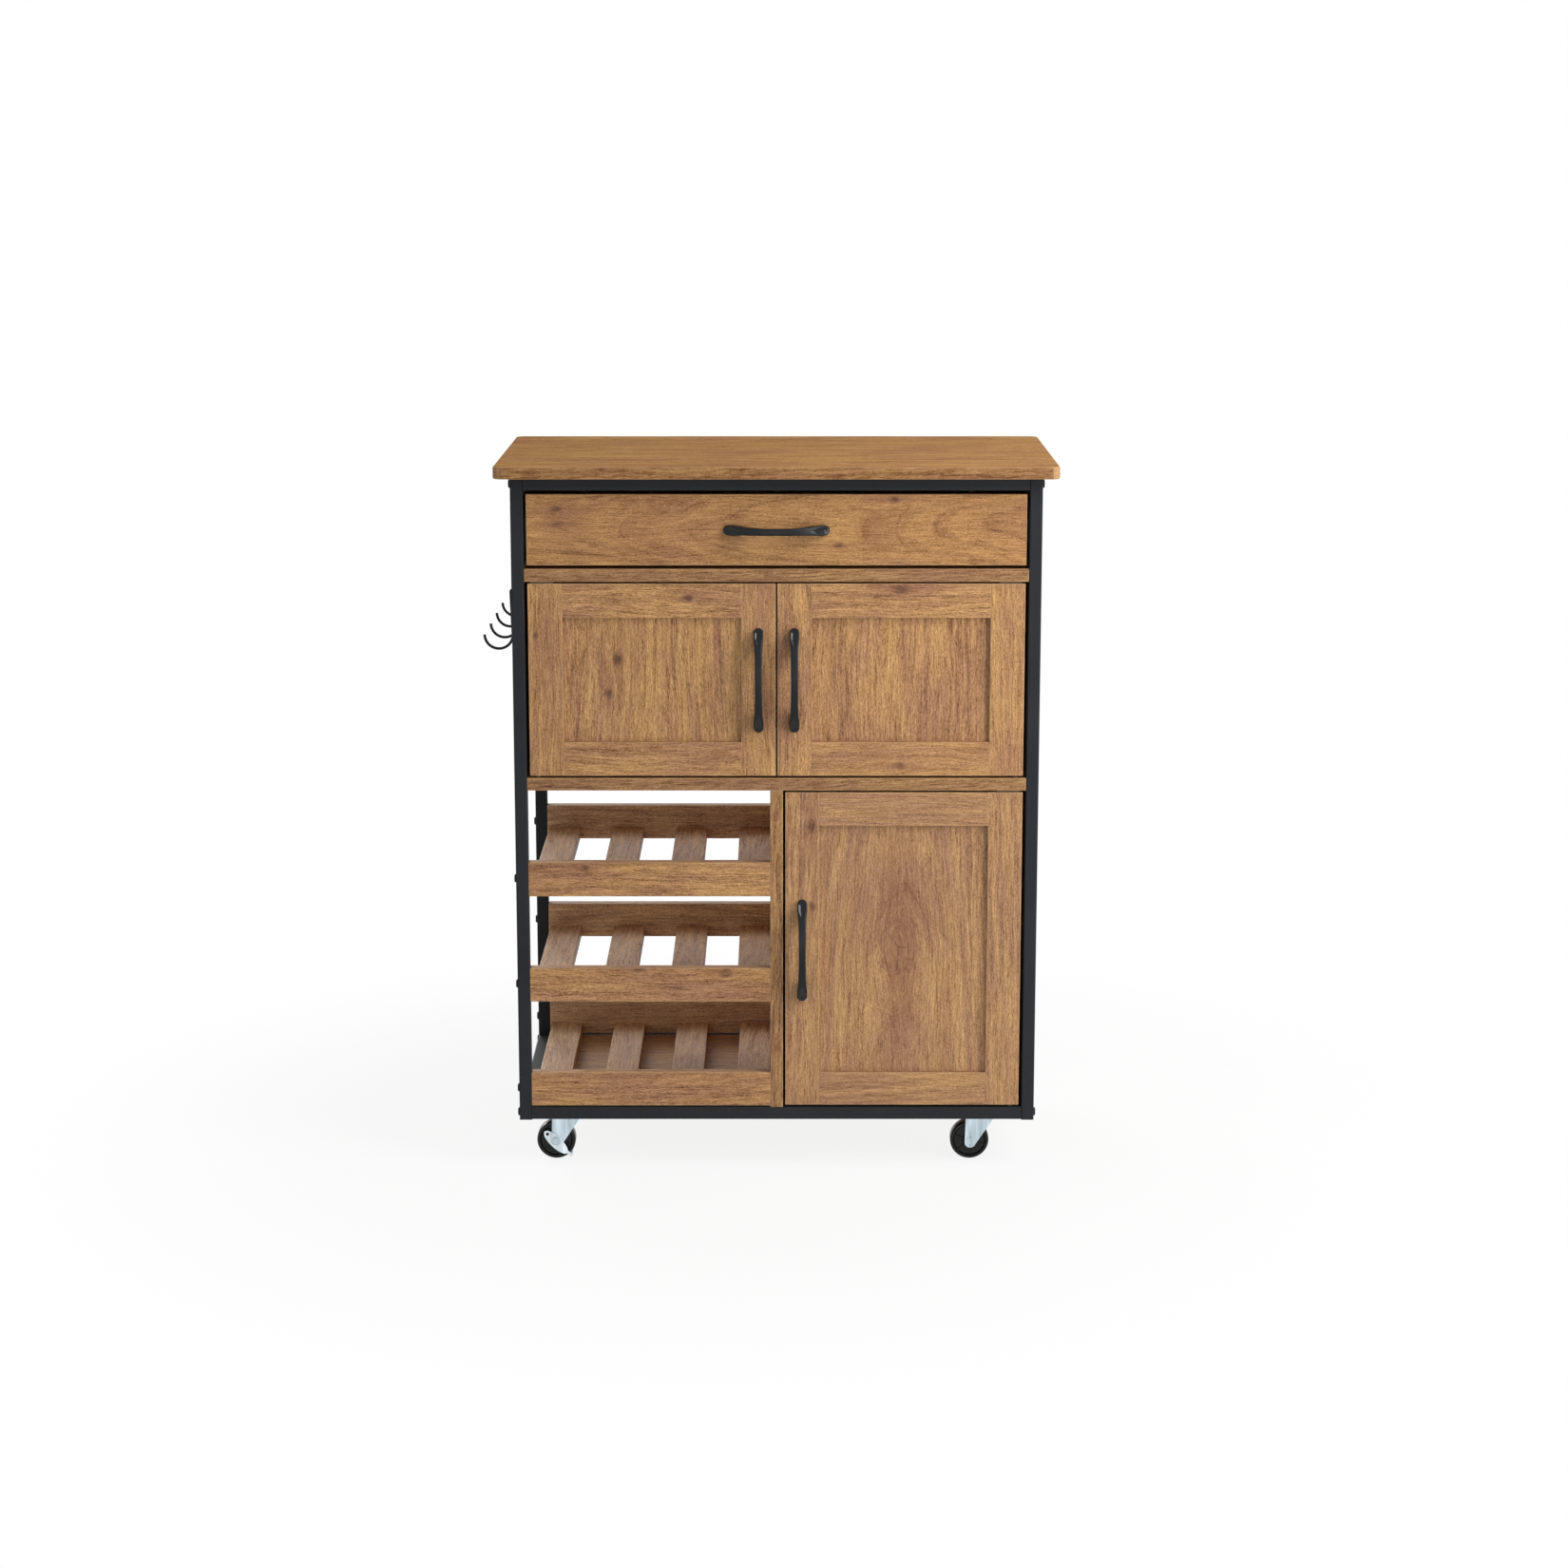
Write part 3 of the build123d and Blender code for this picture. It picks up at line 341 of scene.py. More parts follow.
def make_oak_group():
    """The laminate's colour, gloss and embossed pores from a place in the board's grain."""
    tree, given, result = new_group(
        "oak_grain",
        [
            ("Place", vector_socket, (0, 0, 0)),
            ("Rings", vector_socket, (0, 0, 0)),
            ("Band", number_socket, 0.0),
            ("Contrast", number_socket, 1.0),
            ("Gold", tint_socket, oak_gold),
            ("Russet", tint_socket, oak_russet),
        ],
        [("Color", tint_socket), ("Roughness", number_socket), ("Height", number_socket)],
    )
    place, rings, band = given.outputs["Place"], given.outputs["Rings"], given.outputs["Band"]
    contrast = given.outputs["Contrast"]
    wander = stretched_noise(tree, place, (3.5, 11.0, 3.0), detail=1.0)
    ripple = stretched_noise(tree, place, (34.0, 48.0, 3.0), detail=2.0)
    drift = swing(tree, ripple, ripple_drift, swing(tree, wander, bend_drift))
    drift = add_node(tree, "ShaderNodeCombineXYZ", {1: drift}).outputs[0]
    flowing = calculate_vector(tree, "ADD", place, drift)
    arching = calculate_vector(tree, "ADD", rings, drift)
    clouds = stretched_noise(tree, arching, (7.0, 34.0, 3.0), detail=2.0)
    streaks = stretched_noise(tree, arching, (9.0, 130.0, 3.0), detail=3.0, roughness=0.65)
    growth = stretched_noise(tree, arching, (3.0, 46.0, 3.0), detail=2.0, roughness=0.45)
    growth = calculate(tree, "FRACT", multiply(tree, growth, growth_ring_count))
    off_ring = calculate(tree, "ABSOLUTE", calculate(tree, "SUBTRACT", growth, 0.5))
    veins = step_up(tree, off_ring, growth_ring_width, 0.0)
    lines = stretched_noise(tree, flowing, (9.0, 560.0, 3.0), detail=3.0, roughness=0.9)
    dashes = stretched_noise(tree, flowing, (80.0, 1300.0, 3.0), detail=1.0, roughness=0.7)
    dashes = step_up(tree, dashes, 0.34, 0.66)
    specks = stretched_noise(tree, flowing, (330.0, 1000.0, 3.0), detail=1.0, roughness=0.6)
    specks = step_up(tree, specks, 0.36, 0.64)
    ribs = stretched_noise(tree, flowing, (40.0, 400.0, 3.0), detail=0.0)
    strokes = stretched_noise(tree, flowing, (6.0, 460.0, 3.0), detail=2.0, roughness=0.6)
    strokes = step_up(tree, strokes, 0.58, 0.67)
    pores = stretched_noise(tree, flowing, (70.0, 1700.0, 3.0), detail=0.0)

    # Edge bands carry slanting, coarser streaks
    slant = add_node(
        tree,
        "ShaderNodeVectorRotate",
        {"Vector": place, "Angle": edge_band_slant},
        rotation_type="Z_AXIS",
    )
    coarse = stretched_noise(tree, slant.outputs[0], (48.0, 430.0, 3.0), detail=2.0, distortion=0.4)

    gold = step_up(tree, swing(tree, streaks, streak_hue, clouds), 0.22, 0.78)
    wood = blend_colours(tree, gold, given.outputs["Russet"], given.outputs["Gold"])
    light = 0.0
    for layer, share in (
        (streaks, streak_share),
        (lines, line_share),
        (ribs, rib_share),
        (dashes, dash_share),
        (specks, speck_share),
    ):
        light = swing(tree, layer, share, light)
    light = multiply(tree, light, contrast)
    banding = swing(tree, coarse, banding_share, middle=0.56)
    light = calculate(tree, "MULTIPLY_ADD", banding, band, light)

    # Pores, short strokes, and veins that show in the darker streaks
    marks = multiply(tree, step_up(tree, pores, 0.62, 0.76), pore_share)
    marks = calculate(tree, "MULTIPLY_ADD", strokes, stroke_share, marks)
    shown_veins = multiply(tree, step_up(tree, streaks, 0.62, 0.40), vein_share)
    marks = calculate(tree, "MULTIPLY_ADD", veins, shown_veins, marks)
    marks = multiply(tree, marks, contrast)
    light = calculate(tree, "SUBTRACT", calculate(tree, "ADD", light, wood_light), marks)
    light = calculate(tree, "MAXIMUM", light, darkest_wood)

    # The darker the wood, the redder
    tints = [calculate(tree, "POWER", light, power) for power in tint_powers]
    tinted = add_node(tree, "ShaderNodeCombineXYZ", dict(enumerate(tints))).outputs[0]
    fill(tree, result.inputs["Color"], blend_colours(tree, 1.0, wood, tinted, "MULTIPLY"))
    dull = calculate(tree, "MULTIPLY_ADD", marks, mark_roughness, wood_roughness)
    fill(tree, result.inputs["Roughness"], dull)
    sunk_pores = multiply(tree, pores, -1.0)
    relief = calculate(tree, "MULTIPLY_ADD", specks, speck_relief, sunk_pores)
    fill(tree, result.inputs["Height"], relief)
    return tree


knot_group = make_knot_group()
crack_group = make_crack_group()
arch_group = make_arch_group()
oak_group = make_oak_group()


def new_material(name):
    """An empty material with its shader and its tree."""
    material = bpy.data.materials.new(name)
    material.use_nodes = True
    tree = material.node_tree
    return material, tree, tree.nodes["Principled BSDF"]


def oak(
    name,
    knots=(),
    cracks=(),
    arch=None,
    contrast=1.0,
    specular=0.3,
    gold=oak_gold,
    russet=oak_russet,
):
    """Oak-look laminate.

    Knots are given as along, across, radius and darkness, cracks as along and across of both
    ends, and an arch as the crest's place across, its spread and its run, all in metres."""
    material, tree, shader = new_material(name)
    grain = add_node(tree, "ShaderNodeAttribute", attribute_name="grain")
    start = place = grain.outputs["Vector"]
    depth, rim_of_knot, tail = 0.0, 0.0, 0.0
    for along, across, radius, darkness in knots:
        knot = add_group(
            tree,
            knot_group,
            {"Place": place, "Middle": (along, across, 0), "Radius": radius},
        )
        place = knot.outputs["Place"]
        dark = multiply(tree, knot.outputs["Depth"], darkness)
        depth = calculate(tree, "MAXIMUM", dark, depth)
        rim_of_knot = calculate(tree, "MAXIMUM", knot.outputs["Rim"], rim_of_knot)
        tail = calculate(tree, "MAXIMUM", knot.outputs["Tail"], tail)
    rings = place
    if arch:
        crest, spread, run = arch
        bent = add_group(
            tree, arch_group, {"Place": place, "Crest": crest, "Spread": spread, "Run": run}
        )
        rings = bent.outputs[0]
    band = add_node(tree, "ShaderNodeAttribute", attribute_name="band")
    wood = add_group(
        tree,
        oak_group,
        {
            "Place": place,
            "Rings": rings,
            "Band": band.outputs["Fac"],
            "Contrast": contrast,
            "Gold": gold,
            "Russet": russet,
        },
    )
    base = wood.outputs["Color"]
    if knots:
        stained = multiply(tree, tail, stain_share)
        base = blend_colours(tree, stained, base, knot_stain)
        ring = multiply(tree, rim_of_knot, ring_share)
        base = blend_colours(tree, ring, base, knot_ring)
        base = blend_colours(tree, depth, base, knot_heart)
    for first, last in cracks:
        crack = add_group(tree, crack_group, {"Place": start, "Start": first, "End": last})
        split = multiply(tree, crack.outputs[0], crack_share)
        base = blend_colours(tree, split, base, crack_brown)
    shade = multiply(tree, band.outputs["Fac"], edge_band_share)
    base = blend_colours(tree, shade, base, edge_band_brown)
    # Painted highlight: the eased edges are lightened towards a pale tan, as if they caught the
    # light
    rim = add_node(tree, "ShaderNodeAttribute", attribute_name="rim")
    eased = multiply(tree, rim.outputs["Fac"], edge_highlight_share)
    base = blend_colours(tree, eased, base, edge_highlight_tan)
    bump = add_node(
        tree,
        "ShaderNodeBump",
        {"Strength": 0.4, "Distance": pore_depth, "Height": wood.outputs["Height"]},
    )
    fill(tree, shader.inputs["Base Color"], base)
    fill(tree, shader.inputs["Roughness"], wood.outputs["Roughness"])
    fill(tree, shader.inputs["Normal"], bump.outputs[0])
    shader.inputs["Specular IOR Level"].default_value = specular
    return material


# Painted, moulded and plated coats
cloud_fineness = 14.0
cloud_gloss_spread = 0.16
polish_gloss = -0.26


def make_coat_group():
    """A coat's fine orange peel and faint cloudiness from a place on the object."""
    tree, given, result = new_group(
        "coat_texture",
        [
            ("Color", tint_socket, (0.5, 0.5, 0.5, 1)),
            ("Fineness", number_socket, 900.0),
            ("Roughness", number_socket, 0.4),
            ("Stretch", vector_socket, (1, 1, 1)),
            ("Mottle", number_socket, 0.5),
        ],
        [("Color", tint_socket), ("Roughness", number_socket), ("Height", number_socket)],
    )
    where = add_node(tree, "ShaderNodeTexCoord").outputs["Object"]
    drawn = calculate_vector(tree, "MULTIPLY", where, given.outputs["Stretch"])
    sockets = {"Vector": where, "Scale": given.outputs["Fineness"], "Detail": 2.0}
    peel = add_node(tree, "ShaderNodeTexNoise", sockets).outputs[0]
    sockets = {"Vector": drawn, "Scale": cloud_fineness, "Detail": 3.0}
    cloud = add_node(tree, "ShaderNodeTexNoise", sockets).outputs[0]
    lift = swing(tree, cloud, given.outputs["Mottle"], 1.0)
    grey = add_node(tree, "ShaderNodeCombineXYZ", {0: lift, 1: lift, 2: lift}).outputs[0]
    mottled = blend_colours(tree, 1.0, given.outputs["Color"], grey, "MULTIPLY")
    fill(tree, result.inputs["Color"], mottled)
    roughness = swing(tree, cloud, cloud_gloss_spread, given.outputs["Roughness"])
    fill(tree, result.inputs["Roughness"], roughness)
    fill(tree, result.inputs["Height"], peel)
    return tree


coat_group = make_coat_group()


def coated(
    name,
    tint,
    roughness,
    fineness=900.0,
    relief=0.00004,
    metallic=0.0,
    specular=0.5,
    stretch=(1, 1, 1),
    mottle=0.5,
):
    """A painted, moulded or plated surface. A piece's polish attribute makes it glossier."""
    material, tree, shader = new_material(name)
    sockets = {"Color": tint, "Fineness": fineness, "Roughness": roughness}
    sockets.update({"Stretch": stretch, "Mottle": mottle})
    coat = add_group(tree, coat_group, sockets)
    bump = add_node(
        tree,
        "ShaderNodeBump",
        {"Strength": 0.5, "Distance": relief, "Height": coat.outputs["Height"]},
    )
    polish = add_node(tree, "ShaderNodeAttribute", attribute_name="polish")
    gloss = multiply(tree, polish.outputs["Fac"], polish_gloss)
    fill(tree, shader.inputs["Base Color"], coat.outputs["Color"])
    fill(tree, shader.inputs["Roughness"], calculate(tree, "ADD", coat.outputs["Roughness"], gloss))
    fill(tree, shader.inputs["Normal"], bump.outputs[0])
    shader.inputs["Metallic"].default_value = metallic
    shader.inputs["Specular IOR Level"].default_value = specular
    return material


# Finishes. A knot's place is along and across the grain, in the cart's own coordinates.
oak_plain = oak("oak_plain")
# The worktop's oak has less contrast and no specular; its colours are a little lighter, painted
# light for the top
oak_top_painted_lighter = oak(
    "oak_worktop",
    knots=[(-0.060, 0.060, 0.005, 0.3)],
    contrast=0.75,
    specular=0.0,
    gold=colour(184, 141, 88),
    russet=colour(165, 120, 86),
)
oak_drawer = oak(
    "oak_drawer",
    knots=[
        (-0.264, 0.850, 0.005, 0.7),
        (-0.262, 0.834, 0.004, 0.5),
        (0.156, 0.863, 0.004, 0.6),
        (0.087, 0.806, 0.004, 0.6),
    ],
    arch=(0.829, 0.11, -0.10),
    gold=colour(176, 130, 78),
    russet=colour(150, 105, 72),
)
oak_left_door = oak(
    "oak_left_door",
    knots=[
        (0.662, -0.189, 0.006, 0.75),
        (0.620, -0.200, 0.005, 0.7),
        (0.693, -0.290, 0.003, 0.6),
        (-0.101, 0.740, 0.005, 0.6),
    ],
)
oak_right_door = oak(
    "oak_right_door", knots=[(0.165, 0.751, 0.006, 0.6), (0.165, 0.527, 0.005, 0.5)]
)
oak_lower_door = oak(
    "oak_lower_door",
    knots=[(0.291, 0.165, 0.022, 0.12), (0.445, 0.056, 0.005, 0.6), (0.345, 0.059, 0.004, 0.5)],
    cracks=[
        ((0.309, 0.151, 0), (0.291, 0.165, 0)),
        ((0.291, 0.165, 0), (0.291, 0.177, 0)),
        ((0.291, 0.165, 0), (0.263, 0.163, 0)),
    ],
    arch=(0.165, 0.10, 0.12),
    contrast=0.88,
    gold=colour(178, 136, 90),
    russet=colour(155, 114, 86),
)
oak_rack = oak(
    "oak_rack",
    knots=[(-0.232, 0.395, 0.004, 0.6), (-0.055, 0.258, 0.005, 0.5), (-0.165, 0.264, 0.005, 0.5)],
)
# Painted light: a lighter copy of the oak for the slats and the rack's back boards, for the shaded
# rack
oak_slats_painted_lighter = oak("oak_slats_painted_lighter", gold=colour(202, 162, 118), russet=colour(184, 144, 112))
black_steel = coated("black_powder_coat", colour(46, 48, 51), 0.5, specular=0.07)
black_handle = coated(
    "black_satin", colour(14, 16, 19), 0.38, fineness=1400.0, relief=0.00001, specular=0.27
)
black_plastic = coated("black_plastic", colour(20, 20, 22), 0.5, fineness=700.0, specular=0.25)
wheel_plastic = coated("wheel_plastic", colour(9, 9, 10), 0.27, fineness=500.0, specular=0.3)
zinc_coat = {
    "fineness": 190.0,
    "relief": 0.00012,
    "metallic": 1.0,
    "stretch": (9, 9, 1.3),
    "mottle": 1.3,
}
zinc = coated("zinc_plate", colour(196, 212, 220), 0.28, **zinc_coat)
bright_zinc = coated("bright_zinc", colour(220, 231, 236), 0.28, **zinc_coat)
screw_steel = coated("screw_steel", colour(58, 56, 54), 0.4, relief=0.00003, specular=0.3)
hinge_steel = coated("hinge_steel", colour(104, 88, 72), 0.5, relief=0.00003, specular=0.3)
slide_steel = coated("slide_steel", colour(58, 60, 62), 0.5, relief=0.00003, specular=0.3)


# Modelling helpers
def make_piece(name, shape, material, body, slot, *nodes):
    """Turns a finished shape into a piece that rides on a body and stands for CAD nodes."""
    mesh = bpy.data.meshes.new(name)
    shape.to_mesh(mesh)
    shape.free()
    mesh.materials.append(material)
    piece = bpy.data.objects.new(name, mesh)
    bpy.context.scene.collection.objects.link(piece)
    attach(piece, body)
    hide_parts(*nodes)
    return piece


def smooth_shade(piece, sharp_degrees=35):
    """Shades a piece smooth, with its sharper edges kept."""
    piece.data.shade_smooth()
    piece.data.set_sharp_from_angle(angle=math.radians(sharp_degrees))


def add_block(shape, low, high):
    """A square-edged block between two corners. Returns its edges."""
    size, middle = Vector(high) - Vector(low), (Vector(high) + Vector(low)) / 2
    made = bmesh.ops.create_cube(
        shape, size=1.0, matrix=Matrix.Translation(middle) @ Matrix.Diagonal((*size, 1.0))
    )
    return list(dict.fromkeys(edge for vertex in made["verts"] for edge in vertex.link_edges))


def ease(shape, edges, width, segments=2):
    """Rounds edges over."""
    return bmesh.ops.bevel(
        shape,
        geom=edges,
        offset=width,
        segments=segments,
        profile=0.5,
        affect="EDGES",
        material=-1,
        clamp_overlap=True,
    )


def runs_along(edge, axis):
    """Whether an edge lies along an axis."""
    way = edge.verts[1].co - edge.verts[0].co
    return abs(way[axis]) > 0.9 * way.length


# Steps between the layers of the grain's noise, so that no two boards or sides look the same
board_step = 0.61
side_step = 0.17
far_side_step = 0.05

# A face whose normal leans along its main axis by less than this is part of an eased edge, and gets
# a painted highlight
flat_enough = 0.95


def corner_layer(layers, name):
    """A face-corner layer by name, made the first time."""
    return layers.get(name) or layers.new(name)


def lay_grain(shape, faces, low, high, axis, number):
    """Writes each face corner's place in the grain: along, across, and a layer of its own."""
    grain = corner_layer(shape.loops.layers.float_vector, "grain")
    rim = corner_layer(shape.loops.layers.float, "rim")
    band = corner_layer(shape.loops.layers.float, "band")
    size = Vector(high) - Vector(low)
    thin = min((X, Y, Z), key=lambda other: size[other])
    for face in faces:
        normal = [abs(part) for part in face.normal]
        facing = normal.index(max(normal))
        in_face = [other for other in (X, Y, Z) if other != facing]
        along = axis if axis in in_face else max(in_face, key=lambda other: size[other])
        across = in_face[0] if along == in_face[1] else in_face[1]
        layer = number * board_step + facing * side_step
        layer += far_side_step if face.normal[facing] > 0 else 0.0
        for corner in face.loops:
            place = corner.vert.co
            corner[grain] = (place[along], place[across], layer)
            # Marks the faces of eased edges, which get a painted highlight
            corner[rim] = 1.0 if max(normal) < flat_enough else 0.0
            corner[band] = 0.0 if facing == thin else 1.0


board_number = 0


def add_board(shape, low, high, axis, width=board_ease):
    """A board with eased edges and its grain along an axis."""
    global board_number
    board_number += 1
    before = set(shape.faces)
    ease(shape, add_block(shape, low, high), width)
    fresh = [face for face in shape.faces if face not in before]
    shape.normal_update()
    lay_grain(shape, fresh, low, high, axis, board_number)


def single_board(node, body, material, axis):
    """A piece that is one board, as large as its CAD node."""
    shape = bmesh.new()
    add_board(shape, *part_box(node), axis)
    return make_piece(f"{node}_board", shape, material, body, "oak_board", node)


# Worktop
worktop_low, worktop_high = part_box("worktop")
shape = bmesh.new()
edges = add_block(shape, worktop_low, worktop_high)
ease(shape, [edge for edge in edges if runs_along(edge, Z)], worktop_corner, 6)
rims = [edge for edge in shape.edges if not runs_along(edge, Z)]
ease(shape, rims, worktop_ease, 3)
shape.normal_update()
lay_grain(shape, shape.faces, worktop_low, worktop_high, X, 0)
make_piece("worktop_board", shape, oak_top_painted_lighter, "cart", "oak_board", "worktop")

# Cabinet boards
for node, axis in (
    ("left_side_panel", Z),
    ("right_side_panel", Z),
    ("drawer_shelf", X),
    ("middle_shelf", X),
    ("bottom_board", X),
    ("divider_panel", Z),
    ("upper_back_panel", X),
    ("lower_back_panel", X),
):
    single_board(node, "cart", oak_plain, axis)

# Drawer
single_board("drawer_front", "drawer", oak_drawer, X)
for node, axis in (
    ("drawer_left_side", Y),
    ("drawer_right_side", Y),
    ("drawer_back", X),
    ("drawer_bottom", X),
):
    single_board(node, "drawer", oak_plain, axis)

# Doors
for door, material in (
    ("upper_left_door", oak_left_door),
    ("upper_right_door", oak_right_door),
    ("lower_right_door", oak_lower_door),
):
    low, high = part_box(f"{door}_frame")
    shape = bmesh.new()
    for x in (low.x, high.x - stile_width):
        add_board(shape, (x, low.y, low.z), (x + stile_width, high.y, high.z), Z)
    for z in (low.z, high.z - stile_width):
        add_board(
            shape,
            (low.x + stile_width, low.y, z),
            (high.x - stile_width, high.y, z + stile_width),
            X,
        )
    make_piece(f"{door}_frame_boards", shape, material, door, "oak_board", f"{door}_frame")
    single_board(f"{door}_panel", door, material, Z)

# Wine rack
# The back boards take the oak painted lighter, which stands in for light in the shaded rack
for node, height, tone in (
    ("rack_front_boards", front_board_height, oak_rack),
    ("rack_back_boards", back_board_height, oak_slats_painted_lighter),
):
    low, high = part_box(node)
    shape = bmesh.new()
    for level in range(tray_count):
        foot = low.z + level * tray_pitch
        add_board(shape, (low.x, low.y, foot), (high.x, high.y, foot + height), X)
    make_piece(f"{node}_set", shape, tone, "cart", "oak_board", node)

low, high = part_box("rack_slats")
slat_thickness = high.z - low.z - (tray_count - 1) * tray_pitch
slat_pitch = (high.x - low.x - slat_width) / (slat_count - 1)
shape = bmesh.new()
for level in range(tray_count):
    for index in range(slat_count):
        x, foot = low.x + index * slat_pitch, low.z + level * tray_pitch
        add_board(shape, (x, low.y, foot), (x + slat_width, high.y, foot + slat_thickness), Y)
make_piece("rack_slats_set", shape, oak_slats_painted_lighter, "cart", "oak_board", "rack_slats")


# Square-tube frame
def add_tube(shape, low, high, axis):
    """A square tube's outside, with rounded corners along its length."""
    edges = add_block(shape, low, high)
    ease(shape, [edge for edge in edges if runs_along(edge, axis)], tube_corner, 3)


for node in ("left_side_frame", "right_side_frame"):
    low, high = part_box(node)
    shape = bmesh.new()
    for y in (low.y, high.y - tube):
        add_tube(shape, (low.x, y, low.z), (high.x, y + tube, high.z), Z)
    for z in (low.z, high.z - tube):
        add_tube(shape, (low.x, low.y + tube, z), (high.x, high.y - tube, z + tube), Y)
    make_piece(f"{node}_tubes", shape, black_steel, "cart", "black_steel", node)

for node in ("front_top_rail", "back_top_rail"):
    shape = bmesh.new()
    add_tube(shape, *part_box(node), X)
    make_piece(f"{node}_tube", shape, black_steel, "cart", "black_steel", node)


# Bolts and screws
def solids(node):
    """The corners of each separate solid in a CAD node, from a merged copy of its mesh."""
    shape = bmesh.new()
    shape.from_mesh(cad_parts[node].data)
    bmesh.ops.remove_doubles(shape, verts=shape.verts, dist=merge_distance)
    left_over = dict.fromkeys(shape.verts)
    found = []
    while left_over:
        front_line = [left_over.popitem()[0]]
        points = []
        while front_line:
            vertex = front_line.pop()
            points.append(vertex.co.copy())
            for edge in vertex.link_edges:
                other = edge.other_vert(vertex)
                if other in left_over:
                    del left_over[other]
                    front_line.append(other)
        found.append(points)
    shape.free()
    return found


def extent(points, axis):
    """The lowest and highest coordinate of points along an axis."""
    values = [point[axis] for point in points]
    return min(values), max(values)


def span(points, axis):
    """How far points reach along an axis."""
    low, high = extent(points, axis)
    return high - low


def fastener_place(points):
    """Where a bolt's head ends, which way it looks, and the bolt's length and head radius."""
    ends = [extent(points, axis) for axis in (X, Y, Z)]
    axis = max((X, Y, Z), key=lambda other: span(points, other))
    middle = Vector([(low + high) / 2 for low, high in ends])

    def reach(point):
        away = point - middle
        away[axis] = 0
        return away.length

    widest = max(reach(point) for point in points)
    rim = [point[axis] for point in points if reach(point) > 0.99 * widest]
    outward = Vector((0, 0, 0))
    outward[axis] = 1 if sum(rim) / len(rim) > middle[axis] else -1
    top = middle.copy()
    top[axis] = ends[axis][1] if outward[axis] > 0 else ends[axis][0]
    return top, outward, span(points, axis), widest


cross_arm_half_angle = math.radians(14)
cross_middle_share = 0.3


def hexagon_recess(angle, radius):
    """A hexagon socket's radius at an angle."""
    sixth = math.pi / 3
    return radius * math.cos(sixth / 2) / math.cos((angle % sixth) - sixth / 2)


def cross_recess(angle, radius):
    """A cross slot's radius at an angle."""
    quarter = math.pi / 2
    off_arm = abs((angle + quarter / 2) % quarter - quarter / 2)
    return radius if off_arm < cross_arm_half_angle else radius * cross_middle_share


head_sides = 24
head_rounding_share = 0.6
recess_depth_share = 0.7
shank_sides = 16


def highest_cap(shape):
    """The uppermost face that has as many sides as a head."""
    caps = [face for face in shape.faces if len(face.verts) == head_sides]
    return max(caps, key=lambda face: face.calc_center_median().z)


def add_fastener(shape, place, head_height, shank_share, recess, recess_share):
    """A pan head, rounded down to its driver recess, and its shank, in an empty shape."""
    top, outward, length, radius = place
    bmesh.ops.create_cone(
        shape, cap_ends=True, segments=head_sides, radius1=radius, radius2=radius, depth=head_height
    )
    high = head_height / 2
    ease(shape, list(highest_cap(shape).edges), head_height * head_rounding_share, 4)
    crown = highest_cap(shape)
    for vertex in crown.verts:
        angle = math.atan2(vertex.co.y, vertex.co.x)
        out = recess(angle, radius * recess_share)
        vertex.co.x, vertex.co.y = out * math.cos(angle), out * math.sin(angle)
    sunk = bmesh.ops.extrude_discrete_faces(shape, faces=[crown])
    for vertex in sunk["faces"][0].verts:
        vertex.co.z -= head_height * recess_depth_share
    shank_length = length - head_height
    bmesh.ops.create_cone(
        shape,
        cap_ends=True,
        segments=shank_sides,
        radius1=radius * shank_share,
        radius2=radius * shank_share,
        depth=shank_length,
        matrix=Matrix.Translation((0, 0, -high - shank_length / 2)),
    )
    turn = Vector((0, 0, 1)).rotation_difference(outward).to_matrix().to_4x4()
    to_place = Matrix.Translation(top) @ turn @ Matrix.Translation((0, 0, -high))
    bmesh.ops.transform(shape, matrix=to_place, verts=shape.verts)


def make_fasteners(name, node, places, body, material, slot, sizes):
    """One piece with a fastener at each place."""
    shape = bmesh.new()
    for place in places:
        single = bmesh.new()
        add_fastener(single, place, *sizes)
        mesh = bpy.data.meshes.new("fastener")
        single.to_mesh(mesh)
        single.free()
        shape.from_mesh(mesh)
        bpy.data.meshes.remove(mesh)
    piece = make_piece(name, shape, material, body, slot, node)
    smooth_shade(piece)


# A head's height, the shank's share of its radius, its recess, and the recess's share of its radius
bolt_sizes = (0.0024, 0.56, hexagon_recess, 0.55)
screw_sizes = (0.0018, 0.55, cross_recess, 0.62)
frame_bolts = [fastener_place(points) for points in solids("frame_bolts")]
wood_screws = [fastener_place(points) for points in solids("wood_screws")]
caster_screws = [fastener_place(points) for points in solids("caster_screws")]
hook_rail_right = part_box("hook_rail")[1].x
under_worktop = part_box("worktop")[0].z - 0.05


def in_black_steel(place):
    """Whether a screw holds the hook rail, or the worktop from under the frame's rails."""
    top, outward = place[:2]
    in_hook_rail = outward.x < -0.5 and top.x < hook_rail_right
    in_frame_rail = outward.z < -0.5 and top.z > under_worktop
    return in_hook_rail or in_frame_rail


frame_screws = [place for place in wood_screws if in_black_steel(place)]
hidden_screws = [place for place in wood_screws if place not in frame_screws]
for name, node, places, finish, slot, sizes in (
    ("frame_bolts_set", "frame_bolts", frame_bolts, black_steel, "black_steel", bolt_sizes),
    ("frame_screws_set", "wood_screws", frame_screws, black_steel, "black_steel", screw_sizes),
    ("wood_screws_set", "wood_screws", hidden_screws, screw_steel, "zinc_steel", screw_sizes),
    ("caster_screws_set", "caster_screws", caster_screws, zinc, "zinc_steel", screw_sizes),
):
    make_fasteners(name, node, places, "cart", finish, slot, sizes)


